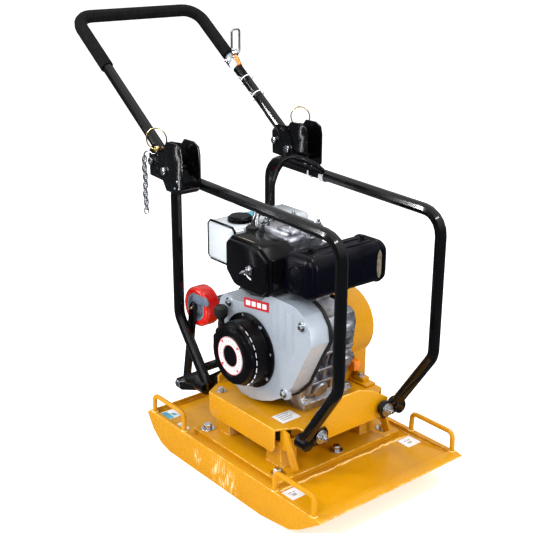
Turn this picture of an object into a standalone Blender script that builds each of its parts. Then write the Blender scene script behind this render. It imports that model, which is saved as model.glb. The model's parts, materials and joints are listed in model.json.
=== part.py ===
"""Plate compactor: a vibrating base plate with its exciter, and above it, on rubber mounts, the deck that
carries a single-cylinder diesel engine, the tube frame, the folding handle and the transport wheels.

Metres, +Z up. The origin lies on the sole of the base plate. +X is the direction of travel, and -Y is the
side with the recoil starter."""

import math

import bmesh
import bpy
from mathutils import Matrix, Vector

MM = 0.001
GAP = 0.3 * MM  # between two pieces that touch
SLIDE = 0.35 * MM  # all round a pin, shaft or axle in its hole

# Base plate: a welded hull with turned-up ends
PLATE_WIDTH = 460 * MM
SOLE_REAR = -273 * MM
SOLE_FRONT = 98 * MM
NOSE_REACH = 204 * MM  # how far the nose runs ahead of the flat sole
TAIL_REACH = 102 * MM
PLATE_HEIGHT = 85 * MM
PLATE_SKIN = 10 * MM
PLATE_WALL = 12 * MM
COVER_TOP = 73 * MM
COVER_SKIN = 6 * MM

# Carrying handles on the side walls
CARRY_ROD = 6 * MM
CARRY_HEIGHT = 48 * MM
CARRY_LENGTH = 134 * MM
CARRY_FRONT_X = 208 * MM
CARRY_REAR_X = -281 * MM

# Exciter: bed, housing and shaft
BED_REAR = -215 * MM
BED_FRONT = 125 * MM
BED_WIDTH = 394 * MM
BED_SKIN = 13 * MM
LEG_HEIGHT = 63 * MM
LEG_REAR_X = -146 * MM
LEG_FRONT_X = 52 * MM
LEG_Y = 128 * MM
LEG_TOP = 50 * MM
LEG_FOOT = 56 * MM
EXCITER_X = -66 * MM
EXCITER_Z = 140 * MM
HOUSING_RADIUS = 44 * MM
HOUSING_BORE = 37 * MM
HOUSING_WIDTH = 204 * MM
CAP_SKIN = 9 * MM
EXCITER_SHAFT = 15 * MM
WEIGHT_RADIUS = 33 * MM
EXCITER_PULLEY = 40 * MM

# Deck on four rubber mounts
MOUNT_RADIUS = 22 * MM
MOUNT_HEIGHT = 40 * MM
DECK_SKIN = 5 * MM
DECK_WIDTH = 350 * MM
DECK_REAR = -173 * MM
DECK_FRONT = 80 * MM
SKIRT_DROP = 63 * MM
CROSS_FRONT_X = 146 * MM
CROSS_REAR_X = -202 * MM
CROSS_SKIN = 6 * MM
CROSS_WIDTH = 250 * MM
CROSS_BOTTOM = 165 * MM
CROSS_ARCH = 48 * MM  # how far the arch of a cross plate stands above its ends

# Tube frame
TUBE_RADIUS = 13.5 * MM
FRAME_Y = 149 * MM
FRAME_FRONT_X = 262 * MM
FRAME_REAR_X = -332 * MM
RAIL_FRONT_Z = 690 * MM
RAIL_REAR_Z = 712 * MM
KNEE_Z = 352 * MM
FOOT_Z = 190 * MM
BEND_RADIUS = 52 * MM
LUG_SKIN = 5 * MM
LUG_SIZE = 42 * MM
BUSH_Y = 106 * MM
BUSH_RADIUS = 18 * MM
FRONT_BUSH = 11 * MM
REAR_BUSH = 17 * MM

# Handle brackets, handle and grip
BRACKET_SKIN = 5 * MM
BRACKET_GAP = 44 * MM
PIVOT_X = -277 * MM
PIVOT_Z = 740 * MM
PIVOT_RADIUS = 6 * MM
STOP_RADIUS = 6 * MM
STOP_ALONG = 52 * MM  # from the pivot, along the handle
PIN_RADIUS = 5 * MM
PIN_ALONG = 46 * MM
PIN_ABOVE = 28 * MM
HANDLE_SLOPE = math.radians(36)
HANDLE_REACH = 541 * MM  # pivot to the middle of the cross bar
HANDLE_TAIL = 16 * MM
HANDLE_BEND = 46 * MM
GRIP_RADIUS = 17 * MM
GRIP_FROM = 352 * MM  # from the pivot to the lower end of the foam

# Engine
CRANK_X = -70 * MM
CRANK_Z = 330 * MM
SHAFT_RADIUS = 12 * MM
CASING_FRONT_Y = -125 * MM
CASING_BACK_Y = -66 * MM
CASING_SKIN = 4 * MM
CASE_BACK_Y = 80 * MM
CASE_BORE = 28 * MM
FLYWHEEL_RADIUS = 92 * MM
STARTER_FLANGE = 92 * MM
STARTER_FACE = 77 * MM
STARTER_DEPTH = 60 * MM
STARTER_SKIN = 3 * MM
CASE_HEIGHT = 235 * MM
CYLINDER_HALF = 58 * MM
CYLINDER_HEIGHT = 138 * MM
FIN_DEPTH = 14 * MM
COVER_HEIGHT = 50 * MM
TANK_SIZE = (105 * MM, 240 * MM, 97 * MM)
TANK_MIDDLE = (-192.5 * MM, 0, 563.5 * MM)
CAP_RADIUS = 30 * MM
MUFFLER_SIZE = (104 * MM, 240 * MM, 103 * MM)
MUFFLER_MIDDLE = (87 * MM, 0, 554.5 * MM)
CLEANER_SIZE = (156 * MM, 92 * MM, 118 * MM)
CLEANER_MIDDLE = (-51 * MM, -109 * MM, 549 * MM)

# Belt drive
BELT_Y = 150 * MM
BELT_WIDTH = 13 * MM
BELT_SKIN = 7 * MM
CLUTCH_RADIUS = 60 * MM
RIM_OVER_BELT = 4 * MM
RIM_SKIN = 6 * MM
GUARD_RADIUS = 92 * MM
GUARD_OUTER_Y = 198 * MM
GUARD_INNER_Y = 122 * MM
GUARD_SKIN = 3 * MM
GUARD_NECK = 134 * MM

# Transport wheels
CARRIER_X = -335 * MM
CARRIER_Z = 150 * MM
AXLE_X = -297 * MM
AXLE_Z = 368 * MM
AXLE_RADIUS = 8 * MM
ARM_SKIN = 7 * MM
ARM_WIDTH = 26 * MM
WHEEL_RADIUS = 52 * MM
WHEEL_WIDTH = 44 * MM
HUB_RADIUS = 36 * MM

# Throttle control on the left handle tube
CLAMP_ALONG = 332 * MM
CLAMP_WIDTH = 22 * MM
CLAMP_SKIN = 4 * MM
LEVER_LENGTH = 62 * MM
LEVER_ROD = 3 * MM
CABLE_RADIUS = 3 * MM

# Worked out from the sizes above
BED_BOTTOM = COVER_TOP + GAP
BED_TOP = BED_BOTTOM + BED_SKIN
LEG_TOP_Z = BED_TOP + LEG_HEIGHT
DECK_BOTTOM = LEG_TOP_Z + MOUNT_HEIGHT + 2 * GAP
DECK_TOP = DECK_BOTTOM + DECK_SKIN
ENGINE_FLOOR = DECK_TOP + GAP
CASE_TOP = ENGINE_FLOOR + CASE_HEIGHT
BRACKET_INNER_Y = FRAME_Y + TUBE_RADIUS + GAP
HANDLE_Y = BRACKET_INNER_Y + BRACKET_SKIN + BRACKET_GAP / 2
BRACKET_OUTER_Y = BRACKET_INNER_Y + 2 * BRACKET_SKIN + BRACKET_GAP
ALONG_HANDLE = Vector((-math.cos(HANDLE_SLOPE), 0, math.sin(HANDLE_SLOPE)))
ABOVE_HANDLE = Vector((math.sin(HANDLE_SLOPE), 0, math.cos(HANDLE_SLOPE)))
PIVOT = Vector((PIVOT_X, 0, PIVOT_Z))
ARM_Y = FRAME_Y - TUBE_RADIUS - 2 * MM - ARM_SKIN
WHEEL_Y = ARM_Y - 3 * MM - WHEEL_WIDTH

SIDES = {"right": -1, "left": 1}


def clear_scene():
    for obj in list(bpy.data.objects):
        bpy.data.objects.remove(obj, do_unlink=True)


def material(name, colour, roughness, metallic=0.0):
    made = bpy.data.materials.new(name)
    made.use_nodes = True
    shader = made.node_tree.nodes["Principled BSDF"]
    shader.inputs["Base Color"].default_value = (*colour, 1)
    shader.inputs["Roughness"].default_value = roughness
    shader.inputs["Metallic"].default_value = metallic
    return made


clear_scene()
YELLOW = material("amber_paint", (0.80, 0.38, 0.02), 0.38)
BLACK = material("black_paint", (0.012, 0.012, 0.014), 0.22)
GREY = material("grey_paint", (0.42, 0.46, 0.50), 0.35)
ALLOY = material("cast_alloy", (0.55, 0.56, 0.57), 0.42, 0.9)
STEEL = material("zinc_steel", (0.62, 0.62, 0.60), 0.30, 1.0)
GOLD = material("yellow_zinc", (0.72, 0.58, 0.26), 0.30, 1.0)
RUBBER = material("rubber", (0.015, 0.015, 0.015), 0.75)
FOAM = material("grip_foam", (0.035, 0.036, 0.038), 0.85)
RED = material("red_tyre", (0.62, 0.02, 0.01), 0.35)
WHITE = material("white_paint", (0.80, 0.82, 0.84), 0.30)
SATIN = material("heat_black", (0.02, 0.02, 0.03), 0.5)


def finished(name, mesh, finish, centre=(0, 0, 0)):
    """A new object whose origin lies at centre, from a mesh in world coordinates."""
    mesh.transform(Matrix.Translation(-Vector(centre)))
    mesh.materials.clear()
    mesh.materials.append(finish)
    mesh.shade_smooth()
    mesh.set_sharp_from_angle(angle=math.radians(35))
    obj = bpy.data.objects.new(name, mesh)
    obj.location = centre
    bpy.context.collection.objects.link(obj)
    return obj


def mesh_of(shape, name):
    bmesh.ops.remove_doubles(shape, verts=shape.verts, dist=1e-6)
    bmesh.ops.recalc_face_normals(shape, faces=shape.faces)
    mesh = bpy.data.meshes.new(name)
    shape.to_mesh(mesh)
    shape.free()
    return mesh


def in_axis(axis, across, up, along):
    """World point from a place across and up in the plane square to the axis, and along it."""
    return {"X": (along, across, up), "Y": (across, along, up), "Z": (across, up, along)}[axis]


def prism(name, outline, axis, low, high, finish, centre=(0, 0, 0), round_edges=0.0):
    """An outline pushed along an axis. The outline is (x, z) for Y, (y, z) for X and (x, y) for Z."""
    shape = bmesh.new()
    ring = [shape.verts.new(in_axis(axis, a, b, low)) for a, b in outline]
    face = shape.faces.new(ring)
    pushed = bmesh.ops.extrude_face_region(shape, geom=[face])
    moved = [item for item in pushed["geom"] if isinstance(item, bmesh.types.BMVert)]
    bmesh.ops.translate(shape, verts=moved, vec=Vector(in_axis(axis, 0, 0, high - low)))
    if round_edges:
        edges = list(shape.edges)
        bmesh.ops.bevel(shape, geom=edges, offset=round_edges, segments=2, profile=0.5, affect="EDGES")
    return finished(name, mesh_of(shape, name), finish, centre)


def block(name, low, high, finish, centre=(0, 0, 0), round_edges=0.0):
    outline = [(low[0], low[1]), (high[0], low[1]), (high[0], high[1]), (low[0], high[1])]
    return prism(name, outline, "Z", low[2], high[2], finish, centre, round_edges)


def turned(name, profile, axis, middle, finish, centre=None, segments=32):
    """A profile of (radius, place along the axis) turned about the axis through middle."""
    shape = bmesh.new()
    across = Vector(in_axis(axis, 1, 0, 0))
    way = Vector(in_axis(axis, 0, 0, 1))
    ring = [shape.verts.new(Vector(middle) + across * r + way * t) for r, t in profile]
    edges = [shape.edges.new((a, b)) for a, b in zip(ring, ring[1:])]
    if min(r for r, _ in profile) > 0:
        edges.append(shape.edges.new((ring[-1], ring[0])))
    bmesh.ops.spin(
        shape, geom=ring + edges, cent=middle, axis=way, angle=math.tau, steps=segments, use_merge=True
    )
    bmesh.ops.remove_doubles(shape, verts=shape.verts, dist=1e-6)
    return finished(name, mesh_of(shape, name), finish, middle if centre is None else centre)


def rod(name, middle, axis, radius, low, high, finish, centre=None, segments=24):
    profile = [(0, low), (radius, low), (radius, high), (0, high)]
    return turned(name, profile, axis, middle, finish, centre, segments)


def ring(name, middle, axis, outer, bore, low, high, finish, centre=None, segments=32):
    profile = [(bore, low), (outer, low), (outer, high), (bore, high)]
    return turned(name, profile, axis, middle, finish, centre, segments)


def rounded(corners, radius, steps=5):
    """A path through the corners, each inner one replaced by an arc of that radius."""
    path = [Vector(corners[0])]
    for before, corner, after in zip(corners, corners[1:], corners[2:]):
        corner = Vector(corner)
        back = (Vector(before) - corner).normalized()
        on = (Vector(after) - corner).normalized()
        half = back.angle(on) / 2
        middle = corner + (back + on).normalized() * radius / math.sin(half)
        first = corner + back * radius / math.tan(half) - middle
        last = corner + on * radius / math.tan(half) - middle
        for step in range(steps + 1):
            path.append(middle + first.slerp(last, step / steps).normalized() * radius)
    path.append(Vector(corners[-1]))
    return path


def tube(name, path, radius, finish, centre=(0, 0, 0), sides=3):
    """A round bar along a path: a curve with a bevel and filled caps, taken as a mesh."""
    curve = bpy.data.curves.new(name, "CURVE")
    curve.dimensions = "3D"
    curve.bevel_depth = radius
    curve.bevel_resolution = sides
    curve.use_fill_caps = True
    spline = curve.splines.new("POLY")
    spline.points.add(len(path) - 1)
    for point, place in zip(spline.points, path):
        point.co = (*place, 1)
    guide = bpy.data.objects.new(name, curve)
    bpy.context.collection.objects.link(guide)
    bpy.context.view_layer.update()
    mesh = bpy.data.meshes.new_from_object(guide.evaluated_get(bpy.context.evaluated_depsgraph_get()))
    bpy.data.objects.remove(guide, do_unlink=True)
    shape = bmesh.new()
    shape.from_mesh(mesh)
    bpy.data.meshes.remove(mesh)
    return finished(name, mesh_of(shape, name), finish, centre)


def boolean(obj, other, operation):
    """Joins, or cuts, with an object that is itself left out of the model."""
    step = obj.modifiers.new(other.name, "BOOLEAN")
    step.object = other
    step.operation = operation
    step.solver = "EXACT"
    other.hide_render = True
    other.display_type = "WIRE"
    return obj


def cut(obj, other):
    return boolean(obj, other, "DIFFERENCE")


def join(obj, other):
    return boolean(obj, other, "UNION")


def drill(obj, name, middle, axis, radius, low, high):
    return cut(obj, rod(name, middle, axis, radius, low, high, STEEL, segments=20))


def arc(middle, radius, start, end, steps):
    """Points on an arc, with its angles in degrees."""
    angles = [math.radians(start + (end - start) * step / steps) for step in range(steps + 1)]
    return [(middle[0] + radius * math.cos(a), middle[1] + radius * math.sin(a)) for a in angles]


# ---------------------------------------------------------------- base plate and exciter


def hull_line(inset):
    """The sole with its turned-up tail and nose, moved in by the skin, from tail to nose."""
    tail = SOLE_REAR - TAIL_REACH
    nose = SOLE_FRONT + NOSE_REACH
    rise = PLATE_HEIGHT
    return [
        (tail + 1.45 * inset, 0.88 * rise),
        (tail + 0.25 * TAIL_REACH + 1.2 * inset, 0.43 * rise + 0.6 * inset),
        (tail + 0.6 * TAIL_REACH + 0.8 * inset, 0.12 * rise + 0.9 * inset),
        (SOLE_REAR + 0.4 * inset, inset),
        (SOLE_FRONT - 0.1 * inset, inset),
        (SOLE_FRONT + 0.5 * NOSE_REACH - 0.3 * inset, 0.17 * rise + inset),
        (SOLE_FRONT + 0.66 * NOSE_REACH - 0.5 * inset, 0.36 * rise + 0.9 * inset),
        (nose - 3.2 * inset, 0.93 * rise),
    ]


def make_base_plate():
    half = PLATE_WIDTH / 2
    tail = SOLE_REAR - TAIL_REACH
    nose = SOLE_FRONT + NOSE_REACH
    top = [(nose, PLATE_HEIGHT - 3 * MM), (nose - 14 * MM, PLATE_HEIGHT), (tail + 12 * MM, PLATE_HEIGHT)]
    plate = prism("base_plate", hull_line(0) + top, "Y", -half, half, YELLOW)
    inner = hull_line(PLATE_SKIN)
    lid = [(inner[-1][0], 2 * PLATE_HEIGHT), (inner[0][0], 2 * PLATE_HEIGHT)]
    cut(plate, prism("hull_room", inner + lid, "Y", PLATE_WALL - half, half - PLATE_WALL, YELLOW))


def make_cover_plate():
    half = PLATE_WIDTH / 2 - PLATE_WALL - GAP
    inner = hull_line(PLATE_SKIN)
    rear = inner[0][0] + 8 * MM
    front = inner[-1][0] - GAP - 1 * MM
    bend = CARRY_FRONT_X - CARRY_LENGTH / 2
    lift = 7 * MM
    outline = [
        (rear, COVER_TOP - COVER_SKIN),
        (bend, COVER_TOP - COVER_SKIN),
        (front - 6 * MM, COVER_TOP - COVER_SKIN + lift),
        (front, COVER_TOP + lift),
        (bend, COVER_TOP),
        (rear, COVER_TOP),
    ]
    prism("cover_plate", outline, "Y", -half, half, YELLOW)


def make_carry_handle(name, x, side):
    y = side * (PLATE_WIDTH / 2 - PLATE_WALL / 2 - 1 * MM)
    low = PLATE_HEIGHT + GAP
    high = PLATE_HEIGHT + CARRY_HEIGHT
    rear = x - CARRY_LENGTH / 2
    front = x + CARRY_LENGTH / 2
    corners = [(rear, y, low), (rear + 2 * MM, y, high), (front - 1 * MM, y, high), (front, y, low)]
    tube(name, rounded(corners, 14 * MM, 4), CARRY_ROD, YELLOW, sides=2)


def make_exciter_bed():
    half = BED_WIDTH / 2
    low = (BED_REAR, -half, BED_BOTTOM)
    bed = block("exciter_bed", low, (BED_FRONT, half, BED_TOP), YELLOW)
    for x in (LEG_REAR_X, LEG_FRONT_X):
        for side in (-1, 1):
            foot = LEG_FOOT / 2
            top = LEG_TOP / 2
            y = side * LEG_Y
            outline = [(x - foot, BED_TOP - 4 * MM), (x + foot, BED_TOP - 4 * MM), (x + top, LEG_TOP_Z)]
            outline.append((x - top, LEG_TOP_Z))
            join(bed, prism("leg", outline, "Y", y - LEG_TOP / 2, y + LEG_TOP / 2, YELLOW))


def make_exciter():
    half = HOUSING_WIDTH / 2
    middle = (EXCITER_X, 0, EXCITER_Z)
    foot = HOUSING_RADIUS + 4 * MM
    housing = rod("exciter_housing", middle, "Y", HOUSING_RADIUS, -half, half, YELLOW, segments=36)
    low = (EXCITER_X - foot, -half + 6 * MM, BED_TOP + GAP)
    join(housing, block("saddle", low, (EXCITER_X + foot, half - 6 * MM, EXCITER_Z - 18 * MM), YELLOW))
    cut(housing, rod("housing_bore", middle, "Y", HOUSING_BORE, -2 * half, 2 * half, YELLOW, segments=36))
    end = half + GAP
    rod("bearing_cap_right", middle, "Y", HOUSING_RADIUS, -end - CAP_SKIN, -end, YELLOW)
    bore = EXCITER_SHAFT + SLIDE
    ring("bearing_cap_left", middle, "Y", HOUSING_RADIUS, bore, end, end + CAP_SKIN, YELLOW)
    shaft_end = BELT_Y + BELT_WIDTH / 2 + RIM_SKIN + 4 * MM
    shaft = rod("eccentric_shaft", middle, "Y", EXCITER_SHAFT, -half + 4 * MM, shaft_end, STEEL)
    weight = arc((EXCITER_X, EXCITER_Z), WEIGHT_RADIUS, 180, 360, 16)
    join(shaft, prism("weight", weight, "Y", -half + 26 * MM, half - 26 * MM, STEEL))


def make_pulley(name, middle, belt_radius, bore):
    """A grooved pulley with one rim on each side of the belt."""
    rim = belt_radius + RIM_OVER_BELT
    inner = BELT_WIDTH / 2 + GAP
    outer = inner + RIM_SKIN
    profile = [
        (bore, -outer),
        (rim, -outer),
        (rim, -inner - 1 * MM),
        (belt_radius, -inner),
        (belt_radius, inner),
        (rim, inner + 1 * MM),
        (rim, outer),
        (bore, outer),
    ]
    turned(name, profile, "Y", middle, STEEL, segments=36)


def belt_outline(spread):
    """The line round both pulleys, this far outside them."""
    low = EXCITER_PULLEY + spread
    high = CLUTCH_RADIUS + spread
    rise = CRANK_Z - EXCITER_Z
    lean = math.degrees(math.asin((CLUTCH_RADIUS - EXCITER_PULLEY) / rise))
    top = arc((CRANK_X, CRANK_Z), high, -lean, 180 + lean, 20)
    return top + arc((EXCITER_X, EXCITER_Z), low, 180 + lean, 360 - lean, 14)


def make_belt_drive():
    make_pulley("exciter_pulley", (EXCITER_X, BELT_Y, EXCITER_Z), EXCITER_PULLEY, EXCITER_SHAFT + GAP)
    make_pulley("clutch_pulley", (CRANK_X, BELT_Y, CRANK_Z), CLUTCH_RADIUS, SHAFT_RADIUS + GAP)
    low = BELT_Y - BELT_WIDTH / 2
    high = BELT_Y + BELT_WIDTH / 2
    belt = prism("drive_belt", belt_outline(GAP + BELT_SKIN), "Y", low, high, RUBBER)
    cut(belt, prism("belt_inside", belt_outline(GAP), "Y", low - 9 * MM, high + 9 * MM, RUBBER))


# ---------------------------------------------------------------- deck and frame


def make_rubber_mounts():
    for end, x in (("rear", LEG_REAR_X), ("front", LEG_FRONT_X)):
        for side, sign in SIDES.items():
            middle = (x, sign * LEG_Y, LEG_TOP_Z + GAP)
            rod(f"rubber_mount_{end}_{side}", middle, "Z", MOUNT_RADIUS, 0, MOUNT_HEIGHT, RUBBER)


def cross_plate_outline():
    half = CROSS_WIDTH / 2
    shoulder = DECK_TOP + 16 * MM
    top = shoulder + CROSS_ARCH
    arch = [(half * 0.82, shoulder + 0.30 * CROSS_ARCH), (half * 0.55, shoulder + 0.72 * CROSS_ARCH)]
    arch += [(half * 0.22, top), (-half * 0.22, top)]
    arch += [(-y, z) for y, z in reversed(arch[:2])]
    return [(-half, CROSS_BOTTOM), (half, CROSS_BOTTOM), (half, shoulder)] + arch + [(-half, shoulder)]


def make_engine_deck():
    half = DECK_WIDTH / 2
    narrow = CROSS_WIDTH / 2
    front = CROSS_FRONT_X - 1 * MM
    rear = CROSS_REAR_X + 1 * MM
    outline = [(DECK_REAR, -half), (DECK_FRONT, -half), (DECK_FRONT + 26 * MM, -narrow), (front, -narrow)]
    outline += [(front, narrow), (DECK_FRONT + 26 * MM, narrow), (DECK_FRONT, half), (DECK_REAR, half)]
    outline += [(rear, narrow), (rear, -narrow)]
    deck = prism("engine_deck", outline, "Z", DECK_BOTTOM, DECK_TOP, YELLOW)
    low = DECK_TOP - SKIRT_DROP
    corner = 12 * MM
    skirt = [(DECK_REAR, DECK_TOP - 1 * MM), (DECK_REAR, low + corner), (DECK_REAR + corner, low)]
    skirt += [(DECK_FRONT - corner, low), (DECK_FRONT, low + corner), (DECK_FRONT, DECK_TOP - 1 * MM)]
    for side in (-1, 1):
        ends = sorted((side * half, side * (half - DECK_SKIN)))
        join(deck, prism("skirt", skirt, "Y", ends[0], ends[1], YELLOW))
    for x in (CROSS_FRONT_X, CROSS_REAR_X):
        ends = (x - CROSS_SKIN / 2, x + CROSS_SKIN / 2)
        join(deck, prism("cross_plate", cross_plate_outline(), "X", ends[0], ends[1], YELLOW))
    slot = max(CLUTCH_RADIUS - 2 * MM, EXCITER_PULLEY + BELT_SKIN + 6 * MM)
    y = BELT_WIDTH / 2 + 7 * MM
    low = (EXCITER_X - slot, BELT_Y - y, DECK_BOTTOM - 9 * MM)
    cut(deck, block("belt_slot", low, (EXCITER_X + slot, BELT_Y + y, DECK_TOP + 9 * MM), YELLOW))


def lug_outline(side):
    """The tab on a tube's foot, as (y, z), from the tube inwards past the bush."""
    outer = FRAME_Y + TUBE_RADIUS * 0.6
    inner = BUSH_Y - LUG_SIZE / 2
    half = LUG_SIZE / 2
    points = [(outer, FOOT_Z - half * 0.7), (inner + 8 * MM, FOOT_Z - half), (inner, FOOT_Z - half * 0.4)]
    points += [(inner, FOOT_Z + half * 0.4), (inner + 8 * MM, FOOT_Z + half), (outer, FOOT_Z + half * 0.7)]
    return [(side * y, z) for y, z in points]


def make_frame_loop(name, side):
    y = side * FRAME_Y
    front_lug = CROSS_FRONT_X + CROSS_SKIN / 2 + FRONT_BUSH + 2 * GAP
    rear_lug = CROSS_REAR_X - CROSS_SKIN / 2 - REAR_BUSH - 2 * GAP
    front_foot = front_lug - 8 * MM
    rear_foot = rear_lug + 8 * MM
    corners = [
        (front_foot, y, FOOT_Z),
        (FRAME_FRONT_X, y, KNEE_Z),
        (FRAME_FRONT_X, y, RAIL_FRONT_Z),
        (FRAME_REAR_X, y, RAIL_REAR_Z),
        (FRAME_REAR_X, y, KNEE_Z - 8 * MM),
        (rear_foot, y, FOOT_Z),
    ]
    loop = tube(name, rounded(corners, BEND_RADIUS), TUBE_RADIUS, BLACK)
    for low, high in ((front_lug, front_lug + LUG_SKIN), (rear_lug - LUG_SKIN, rear_lug)):
        join(loop, prism("lug", lug_outline(side), "X", low, high, BLACK))
    wing = [(rear_foot + 6 * MM, FOOT_Z + 14 * MM), (rear_foot - 24 * MM, FOOT_Z + 34 * MM)]
    wing += [(CARRIER_X - 12 * MM, CARRIER_Z + 10 * MM), (CARRIER_X - 10 * MM, CARRIER_Z - 13 * MM)]
    wing += [(CARRIER_X + 12 * MM, CARRIER_Z - 15 * MM), (rear_foot + 4 * MM, FOOT_Z - 14 * MM)]
    ends = sorted((y, y + side * 6 * MM))
    join(loop, prism("wheel_lug", wing, "Y", ends[0], ends[1], BLACK))
    middle = (CARRIER_X, 0, CARRIER_Z)
    hole = PIVOT_RADIUS + SLIDE
    drill(loop, "wheel_hole", middle, "Y", hole, min(y, 2 * y), max(y, 2 * y))
    for end, lug, bush in (("front", front_lug, -FRONT_BUSH), ("rear", rear_lug, REAR_BUSH)):
        face = lug + math.copysign(GAP, bush)
        low, high = sorted((face, face + bush))
        side_name = "right" if side < 0 else "left"
        bush_middle = (0, side * BUSH_Y, FOOT_Z)
        rod(f"frame_bush_{end}_{side_name}", bush_middle, "X", BUSH_RADIUS, low, high, RUBBER)


def make_cross_bar():
    reach = FRAME_Y - TUBE_RADIUS - GAP
    x = CROSS_REAR_X - CROSS_SKIN / 2 - REAR_BUSH - 24 * MM
    rod("frame_cross_bar", (x, 0, FOOT_Z + 32 * MM), "Y", 11 * MM, -reach, reach, BLACK)


def bracket_outline():
    rear = PIVOT_X - 62 * MM
    front = PIVOT_X + 72 * MM
    top = PIVOT_Z + 72 * MM
    return [
        (rear, PIVOT_Z - 20 * MM),
        (rear - 2 * MM, PIVOT_Z + 38 * MM),
        (rear + 14 * MM, PIVOT_Z + 56 * MM),
        (PIVOT_X + 2 * MM, PIVOT_Z + 60 * MM),
        (PIVOT_X + 12 * MM, top),
        (front - 24 * MM, top),
        (front - 5 * MM, top - 9 * MM),
        (front, top - 28 * MM),
        (front, PIVOT_Z - 32 * MM),
        (front - 14 * MM, PIVOT_Z - 46 * MM),
        (PIVOT_X + 6 * MM, PIVOT_Z - 46 * MM),
        (PIVOT_X - 8 * MM, PIVOT_Z - 24 * MM),
    ]


def stop_place():
    below = TUBE_RADIUS + STOP_RADIUS + GAP
    return PIVOT + ALONG_HANDLE * STOP_ALONG - ABOVE_HANDLE * below


def pin_place():
    return PIVOT + ALONG_HANDLE * PIN_ALONG + ABOVE_HANDLE * PIN_ABOVE


def make_bracket(side_name, side):
    ends = sorted((side * BRACKET_INNER_Y, side * BRACKET_OUTER_Y))
    bracket = prism(f"handle_bracket_{side_name}", bracket_outline(), "Y", ends[0], ends[1], BLACK)
    inner = sorted((side * (HANDLE_Y - BRACKET_GAP / 2), side * (HANDLE_Y + BRACKET_GAP / 2)))
    floor = PIVOT_Z - 46 * MM + BRACKET_SKIN
    web = PIVOT_X + 72 * MM - BRACKET_SKIN
    low = (PIVOT_X - 150 * MM, inner[0], floor)
    cut(bracket, block("channel", low, (web, inner[1], PIVOT_Z + 150 * MM), BLACK))
    low = (PIVOT_X, inner[0], PIVOT_Z - TUBE_RADIUS - 3 * MM)
    cut(bracket, block("way_forward", low, (web + 50 * MM, inner[1], PIVOT_Z + 150 * MM), BLACK))
    for name, place, radius in (
        ("pivot_hole", PIVOT, PIVOT_RADIUS),
        ("stop_hole", stop_place(), STOP_RADIUS),
        ("pin_hole", pin_place(), PIN_RADIUS),
    ):
        drill(bracket, name, (place.x, 0, place.z), "Y", radius + SLIDE, min(0, side), max(0, side))


def bolt(name, middle, side, radius, head, inner, outer, finish):
    """A through bolt along Y with a head outside and a nut inside."""
    thick = 0.9 * radius
    profile = [
        (0, inner - thick),
        (head, inner - thick),
        (head, inner),
        (radius, inner),
        (radius, outer),
        (head, outer),
        (head, outer + thick),
        (0, outer + thick),
    ]
    profile = [(r, side * t) for r, t in profile]
    return turned(name, profile, "Y", middle, finish, segments=18)


def make_bracket_bolts(side_name, side):
    inner = BRACKET_INNER_Y - GAP
    outer = BRACKET_OUTER_Y + GAP
    bolt(f"pivot_bolt_{side_name}", PIVOT, side, PIVOT_RADIUS, 10 * MM, inner, outer, STEEL)
    bolt(f"stop_bolt_{side_name}", stop_place(), side, STOP_RADIUS, 9 * MM, inner, outer, STEEL)


def make_lock_pin(side_name, side):
    """The pin's tip stands clear of the tube's path, and its head stands outside the bracket."""
    tip = HANDLE_Y + TUBE_RADIUS + 2 * MM
    head = BRACKET_OUTER_Y + GAP
    profile = [(0, tip), (PIN_RADIUS - 2 * MM, tip), (PIN_RADIUS, tip + 2 * MM), (PIN_RADIUS, head)]
    profile += [(8 * MM, head), (8 * MM, head + 9 * MM), (0, head + 9 * MM)]
    profile = [(r, side * t) for r, t in profile]
    turned(f"lock_pin_{side_name}", profile, "Y", pin_place(), GOLD, segments=16)


# ---------------------------------------------------------------- handle and throttle


def on_handle(along, y, above=0.0):
    point = PIVOT + ALONG_HANDLE * along + ABOVE_HANDLE * above
    return Vector((point.x, y, point.z))


def handle_path(along):
    """The handle's line from this far along its right tube, over the bar, to the same place on the left."""
    corners = [on_handle(along, -HANDLE_Y), on_handle(HANDLE_REACH, -HANDLE_Y)]
    corners += [on_handle(HANDLE_REACH, HANDLE_Y), on_handle(along, HANDLE_Y)]
    return rounded(corners, HANDLE_BEND, 6)


def make_handle():
    handle = tube("handle_bar", handle_path(-HANDLE_TAIL), TUBE_RADIUS, BLACK, PIVOT)
    reach = HANDLE_Y + 2 * TUBE_RADIUS
    drill(handle, "handle_holes", (PIVOT.x, 0, PIVOT.z), "Y", PIVOT_RADIUS + SLIDE, -reach, reach)
    grip = tube("foam_grip", handle_path(GRIP_FROM), GRIP_RADIUS, FOAM, PIVOT)
    cut(grip, tube("grip_bore", handle_path(GRIP_FROM - 20 * MM), TUBE_RADIUS + GAP, FOAM, PIVOT))


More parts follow.
